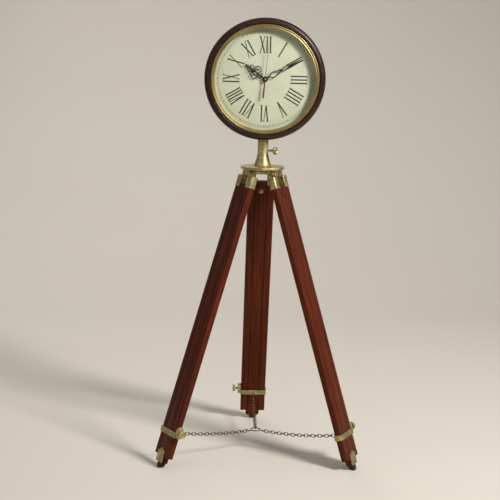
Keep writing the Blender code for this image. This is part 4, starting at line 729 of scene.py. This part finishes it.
# Second hand
# A fine red needle with a broader tail, pressed on the movement's innermost spindle, and a small
# domed cap over the hub.
NEEDLE_BACK, NEEDLE_FACE, CAP_BACK, CAP_RADIUS, CAP_FRONT = 0.0196, 0.0204, 0.0191, 0.003, 0.0209
SECOND_ANGLE = 5
SECOND_HAND = CLOCK @ spin(SECOND_ANGLE, "Y") @ UPRIGHT

# Stoved red lacquer on the needle, and the same lacquer faded and rubbed pale on the cap.
RED = aged_finish("dark_red_lacquer", [(0.3, "551B14"), (0.7, "74281D")], 0.34, metallic=0.0)
CAP_RED = aged_finish("faded_red_lacquer", [(0.3, "A06A5E"), (0.7, "B98577")], 0.34, metallic=0.0)
needle = tapered([(0.0018, -0.048), (0.0019, -0.030), (0.0012, -0.008), (0.0007, 0.0), (0.0003, 0.105)])
cap = rounded([(CORE / 2, CAP_BACK, 0), (CAP_RADIUS, CAP_BACK, 0.0002), (CAP_RADIUS, NEEDLE_FACE, 0.0007),
               (0.0018, CAP_FRONT, 0.0006), (CORE / 2, CAP_FRONT, 0)], 4)
make_piece("second_hand_needle", [slab(needle, NEEDLE_BACK, NEEDLE_FACE, HAND_EDGE / 2)], RED,
           "second", SECOND_HAND, replaces="second_hand")
make_piece("second_hand_cap", [turned(cap, 48)], CAP_RED, "second", SECOND_HAND)


# Movement and setting knob
# The box of the quartz works behind the dial, and the toothed knob at its back that sets the hands.
# Both are moulded plastic, and keep their solids' shapes.


def keep(name, material):
    """Shows a CAD node with its own shape and this material."""
    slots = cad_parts[name].data.materials
    slots.clear()
    slots.append(material)


# Moulded ABS: black and half dull, from the fine stipple of its mould, drawn at 0.4 mm to show.
black_plastic, tree, shader = new_material("black_plastic")
place = add(tree, "TexCoord").outputs["Object"]
stipple = add(tree, "TexNoise", {"Vector": place, "Scale": 1000 / 0.417, "Detail": 1}).outputs["Fac"]
tone = add(tree, "ValToRGB", {"Fac": stipple}, [(0.3, "141414"), (0.7, "1F1F1F")])
face = add(tree, "Bump", {"Height": stipple, "Distance": 0.00004, "Strength": 1.0})
feed(tree, shader, {"Base Color": tone.outputs["Color"], "Roughness": 0.5, "IOR": 1.46,
                    "Normal": face.outputs["Normal"]})
keep("quartz_movement", black_plastic)
keep("set_knob", black_plastic)


# Cell and nuts
# The bare cell in the movement's back, the hexagon nut that holds the dial on its bush, and the nuts
# on the stem and under the head plate. All are plain metal, and keep their solids' shapes.
MARK_MM = 1.11


def machined(name, dark, light, gloss):
    """Machined metal: its marks, drawn 1 mm wide to show, move its tone and its gloss by 0.1."""
    material, tree, shader = new_material(name)
    place = add(tree, "TexCoord").outputs["Object"]
    marks = add(tree, "TexNoise", {"Vector": place, "Scale": 1000 / MARK_MM, "Detail": 3}).outputs["Fac"]
    tone = add(tree, "ValToRGB", {"Fac": marks}, [(0.3, dark), (0.7, light)])
    rough = add(tree, "MapRange", {"Value": marks, "To Min": gloss - 0.1, "To Max": gloss + 0.1})
    feed(tree, shader, {"Base Color": tone.outputs["Color"], "Metallic": 1.0, "Roughness": rough.outputs[0]})
    return material


# Bright drawn steel on the cell, plain turned brass at the dial, and oil-darkened steel for the rest.
dark_steel = machined("darkened_steel", "2A2723", "4A4640", 0.46)
keep("battery", machined("bare_cell_steel", "8E8E8C", "B2B2AF", 0.3))
keep("dial_nut", machined("plain_brass", "A98D48", "C9AE68", 0.3))
keep("neck_nut", dark_steel)
keep("stem_nut", dark_steel)


# Rails and middle strips
# Each leg has two outer rails of planed, reddish hardwood with rounded outer edges. A strip of the
# same wood slides down between them: a tongue along each side runs in the rails, and a small rebate
# along each long edge sets it off. All are slabs drawn down the leg, with their grain along it.
LEG_TILT = 18.2
LEG_LENGTH = HINGE_HEIGHT / math.cos(math.radians(LEG_TILT))
STRIP_HALF, RAIL_WIDTH, LEG_HALF = 0.016, 0.018, 0.0085
RAIL_INNER, RAIL_OUTER = STRIP_HALF + GAP, STRIP_HALF + GAP + RAIL_WIDTH
RAIL_TOP, RAIL_END, RAIL_EDGE, RAIL_ROUND = 0.0123, LEG_LENGTH - 0.0295, 0.0008, 0.0030
STRIP_START, STRIP_END, STRIP_EDGE = 0.0625, LEG_LENGTH - 0.013, 0.0006
TONGUE, TONGUE_HALF, REBATE_WIDTH, REBATE_DEPTH = 0.0028, 0.003, 0.0025, 0.0013
SIDES = {"left": -1, "right": 1}


def leg_frame(side):
    """The frame of a leg: X outward, Y across, -Z down the leg, from its hinge."""
    hinge = AXIS @ spin(LEG_AZIMUTHS[side], "Z") @ at(HINGE_RADIUS, 0, HINGE_HEIGHT)
    return hinge @ spin(-LEG_TILT, "Y")


def leg_piece(side, name, shells, material, part="leg", node=None, place=Matrix(), shift=0.0):
    """A piece made in a leg's frame, which rides on a part of that leg and stands for its node."""
    make_piece(f"{side}_{name}", shells, material, f"{side}_{part}", leg_frame(side) @ place,
               replaces=node and f"{side}_leg_{node}", shift=shift)


# Planed hardwood under thin, worn varnish: a warm red brown, streaked along the leg, with little shine.
LEG_WOOD = varnished_wood("reddish_leg_wood", [(0.34, "2C0E05"), (0.48, "4C1C09"), (0.60, "5F250C"),
                                               (0.72, "753213")], 0.36, coat=0.04, sheen=0.1)
rail = four_sided(LEG_HALF, RAIL_INNER, RAIL_OUTER, RAIL_EDGE, RAIL_ROUND)
step, shoulder = LEG_HALF - REBATE_WIDTH, STRIP_HALF - REBATE_DEPTH
quarter = [(LEG_HALF, shoulder, 0.0007), (step, shoulder, 0), (step, STRIP_HALF, 0),
           (TONGUE_HALF, STRIP_HALF, 0), (TONGUE_HALF, STRIP_HALF + TONGUE, 0)]
half_strip = quarter + [(-x, y, radius) for x, y, radius in quarter[::-1]]
strip = rounded(half_strip + [(-x, -y, radius) for x, y, radius in half_strip], 4)
for index, side in enumerate(LEG_AZIMUTHS):
    for hand, sign in SIDES.items():
        shell = slab(rail * [1, sign], -RAIL_END, -RAIL_TOP, RAIL_EDGE)
        leg_piece(side, f"rail_{hand}", [shell], LEG_WOOD, node=f"rail_{hand}",
                  shift=0.17 * index + 0.07 * sign)
    shell = slab(strip, -STRIP_END, -STRIP_START, STRIP_EDGE)
    leg_piece(side, "strip", [shell], LEG_WOOD, "leg_foot", "inner_strip",
              shift=0.23 * index + 0.5)


# Ferrules
# A cast brass socket on each rail's top end, with rounded corners, a bead round its mouth and an ear
# for the hinge bolt. Socket and bead are slabs, and the ear is a slab with a round end.
EAR_RADIUS, EAR_ROOT, EAR_THICKNESS = 0.0078, -0.0100, 0.005
EAR_INNER, EAR_OUTER = LUG_WIDTH / 2 + GAP, LUG_WIDTH / 2 + GAP + EAR_THICKNESS
FERRULE_START, FERRULE_END, FERRULE_WALL = 0.008, 0.038, 0.001
INNER_CORNER, OUTER_CORNER = 0.0016, 0.0048
BEAD_PROUD, BEAD_START, BEAD_WIDTH, BEAD_CORNER = 0.0007, 0.001, 0.0035, 0.0052
inner, outer = RAIL_INNER - GAP - FERRULE_WALL, RAIL_OUTER + GAP + FERRULE_WALL
half = LEG_HALF + GAP + FERRULE_WALL
socket = four_sided(half, inner, outer, INNER_CORNER, OUTER_CORNER)
bead = four_sided(half + BEAD_PROUD, inner + GAP, outer + BEAD_PROUD, INNER_CORNER, BEAD_CORNER)
ear = four_sided(EAR_RADIUS, EAR_ROOT, EAR_RADIUS, 0, EAR_RADIUS * ROUND_END, 14)
bead_end = BEAD_START - FERRULE_END
for side in LEG_AZIMUTHS:
    for hand, sign in SIDES.items():
        ear_ends = sorted((-sign * EAR_INNER, -sign * EAR_OUTER))
        shells = [slab(socket * [1, sign], -FERRULE_END, -FERRULE_START, 0.0010),
                  slab(bead * [1, sign], bead_end, bead_end + BEAD_WIDTH, 0.0012),
                  moved(slab(ear, *ear_ends, 0.0007), UPRIGHT)]
        leg_piece(side, f"ferrule_{hand}", shells, BRASS, node=f"ferrule_{hand}", shift=0.05 * sign)


# Hinge bolts and nuts
# A brassed bolt through both ears and the lug between them, with a hexagon head and a hexagon nut,
# each with softened corners.
HEXAGON_RADIUS, HEXAGON_HEIGHT, HEXAGON_EDGE, BOLT_SHANK, BOLT_SPARE = 0.00577, 0.004, 0.0005, 0.003, 0.0015
near, far = EAR_OUTER + GAP, EAR_OUTER + GAP + HEXAGON_HEIGHT
hexagon = rounded([(HEXAGON_RADIUS * math.cos(a), HEXAGON_RADIUS * math.sin(a), 0.0006)
                   for a in np.linspace(0, math.tau, 6, endpoint=False)], 3)
shank = rounded([(CORE / 2, -far - BOLT_SPARE, 0), (BOLT_SHANK, -far - BOLT_SPARE, 0.0005),
                 (BOLT_SHANK, near, 0), (CORE / 2, near, 0)], 3)
head, nut = slab(hexagon, near, far, HEXAGON_EDGE), slab(hexagon, -far, -near, HEXAGON_EDGE)
for side in LEG_AZIMUTHS:
    bolt = [moved(head, TO_Y), moved(turned(shank, 40), TO_Y)]
    leg_piece(side, "bolt", bolt, BRASS, node="hinge_bolt")
    leg_piece(side, "nut", [moved(nut, TO_Y)], BRASS, node="hinge_nut")


# Spacers
# A block of the leg's wood that holds the rails apart below the ferrules, narrower where it stands
# between them. A domed brass rivet through it shows on its inner face.
BLOCK_TOP, BLOCK_FOOT, BLOCK_EDGE = -0.030, -0.062, 0.0008
RIVET_RADIUS, RIVET_RISE, RIVET_Z, RIVET_SUNK = 0.0060, 0.0018, -0.0552, 0.0006
FACE_ON = Matrix(((0, 0, 1, 0), (1, 0, 0, 0), (0, 1, 0, 0), (0, 0, 0, 1)))
narrow, step_z = STRIP_HALF - FERRULE_WALL - GAP, -FERRULE_END - GAP
block = rounded([(-STRIP_HALF, BLOCK_FOOT, 0.0008), (STRIP_HALF, BLOCK_FOOT, 0.0008),
                 (STRIP_HALF, step_z, 0.0004), (narrow, step_z, 0), (narrow, BLOCK_TOP, 0.0012),
                 (-narrow, BLOCK_TOP, 0.0012), (-narrow, step_z, 0), (-STRIP_HALF, step_z, 0.0004)], 4)
angle = np.linspace(0, math.pi / 2 - 0.05, 9)
rivet_foot = LEG_HALF - RIVET_SUNK
dome = np.column_stack([RIVET_RADIUS * np.cos(angle), rivet_foot + (RIVET_RISE + RIVET_SUNK) * np.sin(angle)])
rivet = turned(np.vstack([[[CORE / 2, rivet_foot]], dome]), 32)
facing_in = at(0, 0, RIVET_Z) @ spin(-90, "Y")
for index, side in enumerate(LEG_AZIMUTHS):
    shell = moved(slab(block, -LEG_HALF, LEG_HALF, BLOCK_EDGE), FACE_ON)
    leg_piece(side, "block", [shell], LEG_WOOD, node="spacer", shift=0.4 + 0.1 * index)
    leg_piece(side, "rivet", [moved(rivet, facing_in)], BRASS)


# Clamp bands and thumb screws
# A bent brass band round each leg, with rounded corners, a round-ended boss for its thumb screw and
# an eye plate for the chain. The screw presses on the rail and holds the sliding strip.
BAND_CENTRE, BAND_HEIGHT, BAND_WALL, BAND_CORNER = LEG_LENGTH - 0.092, 0.014, 0.002, 0.0028
BOSS_HALF, BOSS_RISE, BOSS_THICKNESS, CLAMP_STEM = 0.008, 0.0165, 0.009, 0.008
EYE_REACH, EYE_RADIUS, EYE_BAR, EYE_HALF_THICKNESS, EYE_EDGE = 0.004, 0.0036, 0.0020, 0.00125, 0.0004
TAB_HALF, TAB_START, TAB_SUNK = 0.0034, 0.0023, 0.0028
outer_x, outer_y = LEG_HALF + GAP + BAND_WALL, RAIL_OUTER + GAP + BAND_WALL
low, high = -BAND_CENTRE - BAND_HEIGHT / 2, -BAND_CENTRE + BAND_HEIGHT / 2
boss_near, boss_far = RAIL_OUTER + GAP, RAIL_OUTER + GAP + BOSS_THICKNESS
eye_x, clamp_screw_z = -outer_x - EYE_REACH, BOSS_RISE / 2 - BAND_CENTRE
band = four_sided(outer_x, -outer_y, outer_y, BAND_CORNER, BAND_CORNER, 5)
boss = four_sided(BOSS_HALF, low, high + BOSS_RISE, BOSS_HALF * ROUND_END, BOSS_HALF * ROUND_END, 12)
tab_near, tab_far = eye_x + TAB_START, TAB_SUNK - outer_x
tab_low, tab_high = -BAND_CENTRE - TAB_HALF, -BAND_CENTRE + TAB_HALF
tab = slab([(tab_near, tab_low), (tab_far, tab_low), (tab_far, tab_high), (tab_near, tab_high)],
           -EYE_HALF_THICKNESS, EYE_HALF_THICKNESS, EYE_EDGE)
eye = loop(oval((eye_x, -BAND_CENTRE), EYE_RADIUS, EYE_RADIUS, steps=32), EYE_BAR,
           -EYE_HALF_THICKNESS, EYE_HALF_THICKNESS, EYE_EDGE)
shells = [loop(band, BAND_WALL, low, high, 0.0006), moved(slab(boss, -boss_far, -boss_near, 0.0010), UPRIGHT),
          moved(eye, UPRIGHT), moved(tab, UPRIGHT)]
screw = moved(thumb_screw(RAIL_OUTER + GAP, boss_far + CLAMP_STEM), spin(90, "Z"))
for side in LEG_AZIMUTHS:
    leg_piece(side, "clamp", shells, BRASS, node="clamp_band")
    leg_piece(side, "clamp_screw_brass", [screw], BRASS, "leg_screw", "clamp_screw",
              at(0, 0, clamp_screw_z))


# Shoes
# A thin brass plate with a pointed top on the outer face of each foot, held by two small screws
# whose heads stand a little proud.
SHOE_HALF, SHOE_HEIGHT, SHOE_POINT, SHOE_THICKNESS, SHOE_EDGE = 0.015, 0.038, 0.010, 0.0016, 0.0005
HEAD_RADIUS, HEAD_RISE, TOP_SCREW_BELOW, FOOT_SCREW_ABOVE = 0.0018, 0.0005, 0.004, 0.006
near, top = LEG_HALF + GAP, SHOE_HEIGHT - STRIP_END
face = near + SHOE_THICKNESS

# Rolled brass sheet: paler than the castings, rubbed bright by the floor, with patches 14 mm wide.
SHOE_BRASS = aged_finish("pale_shoe_brass", [(0.30, "8A7A50"), (0.48, "B0A070"), (0.62, "C8BA8E"),
                                             (0.78, "B6A678")], 0.34)
plate = rounded([(-SHOE_HALF, -STRIP_END, 0.0006), (SHOE_HALF, -STRIP_END, 0.0006),
                 (SHOE_HALF, top - SHOE_POINT, 0.0015), (0, top, 0.0015),
                 (-SHOE_HALF, top - SHOE_POINT, 0.0015)], 4)
screw_head = turned([(CORE / 2, near), (HEAD_RADIUS, near), (HEAD_RADIUS - 0.0002, face + HEAD_RISE),
                     (CORE / 2, face + HEAD_RISE + 0.0003)], 20)
shells = [moved(slab(plate, near, face, SHOE_EDGE), FACE_ON)]
for z in (top - SHOE_POINT - TOP_SCREW_BELOW, FOOT_SCREW_ABOVE - STRIP_END):
    shells.append(moved(screw_head, at(0, 0, z) @ TO_X))
for side in LEG_AZIMUTHS:
    leg_piece(side, "shoe_plate", shells, SHOE_BRASS, "leg_foot", "shoe")


# Tips
# A black iron tip under each strip, rounded across the leg and level with the floor. Its rows are
# slices along X, each a smooth arch cut by the floor and closed by two points at the strip's end.
TIP_HALF_WIDTH, TIP_HALF_THICKNESS, TIP_ROUND, TIP_EDGE, TIP_BEVEL = 0.0095, 0.007, 0.008, 0.0008, 0.001
SOLE_FLAT, SOLE_BEND = 0.5, 2.2

# Cast iron, painted black and worn by the floor: dull, coarse, with greyish patches 14 mm wide.
IRON = aged_finish("black_iron", [(0.3, "101010"), (0.6, "1C1B1A"), (0.8, "2B2825")], 0.5,
                   grain=0.0002, metallic=0.4)
tilt = math.radians(LEG_TILT)
share = np.linspace(-1, 1, 25)
arch = TIP_ROUND * np.maximum(0, (np.abs(share) - SOLE_FLAT) / (1 - SOLE_FLAT)) ** SOLE_BEND
slices = []
for x, drawn in ((-TIP_HALF_THICKNESS, TIP_EDGE), (TIP_BEVEL - TIP_HALF_THICKNESS, 0),
                 (TIP_HALF_THICKNESS - TIP_BEVEL, 0), (TIP_HALF_THICKNESS, TIP_EDGE)):
    half = TIP_HALF_WIDTH - drawn
    z = (arch + drawn - HINGE_HEIGHT - x * math.sin(tilt)) / math.cos(tilt)
    under = np.column_stack([np.full(len(share), x), share * half, z])
    slices.append(np.vstack([under, [(x, half, -STRIP_END - GAP), (x, -half, -STRIP_END - GAP)]]))
count = len(slices[0])
caps = [list(range(count))[::-1], list(range(count * 3, count * 4))]
tip = (np.vstack(slices), grid_faces(len(slices), count) + caps)
for side in LEG_AZIMUTHS:
    leg_piece(side, "foot_iron", [tip], IRON, "leg_foot", "tip")
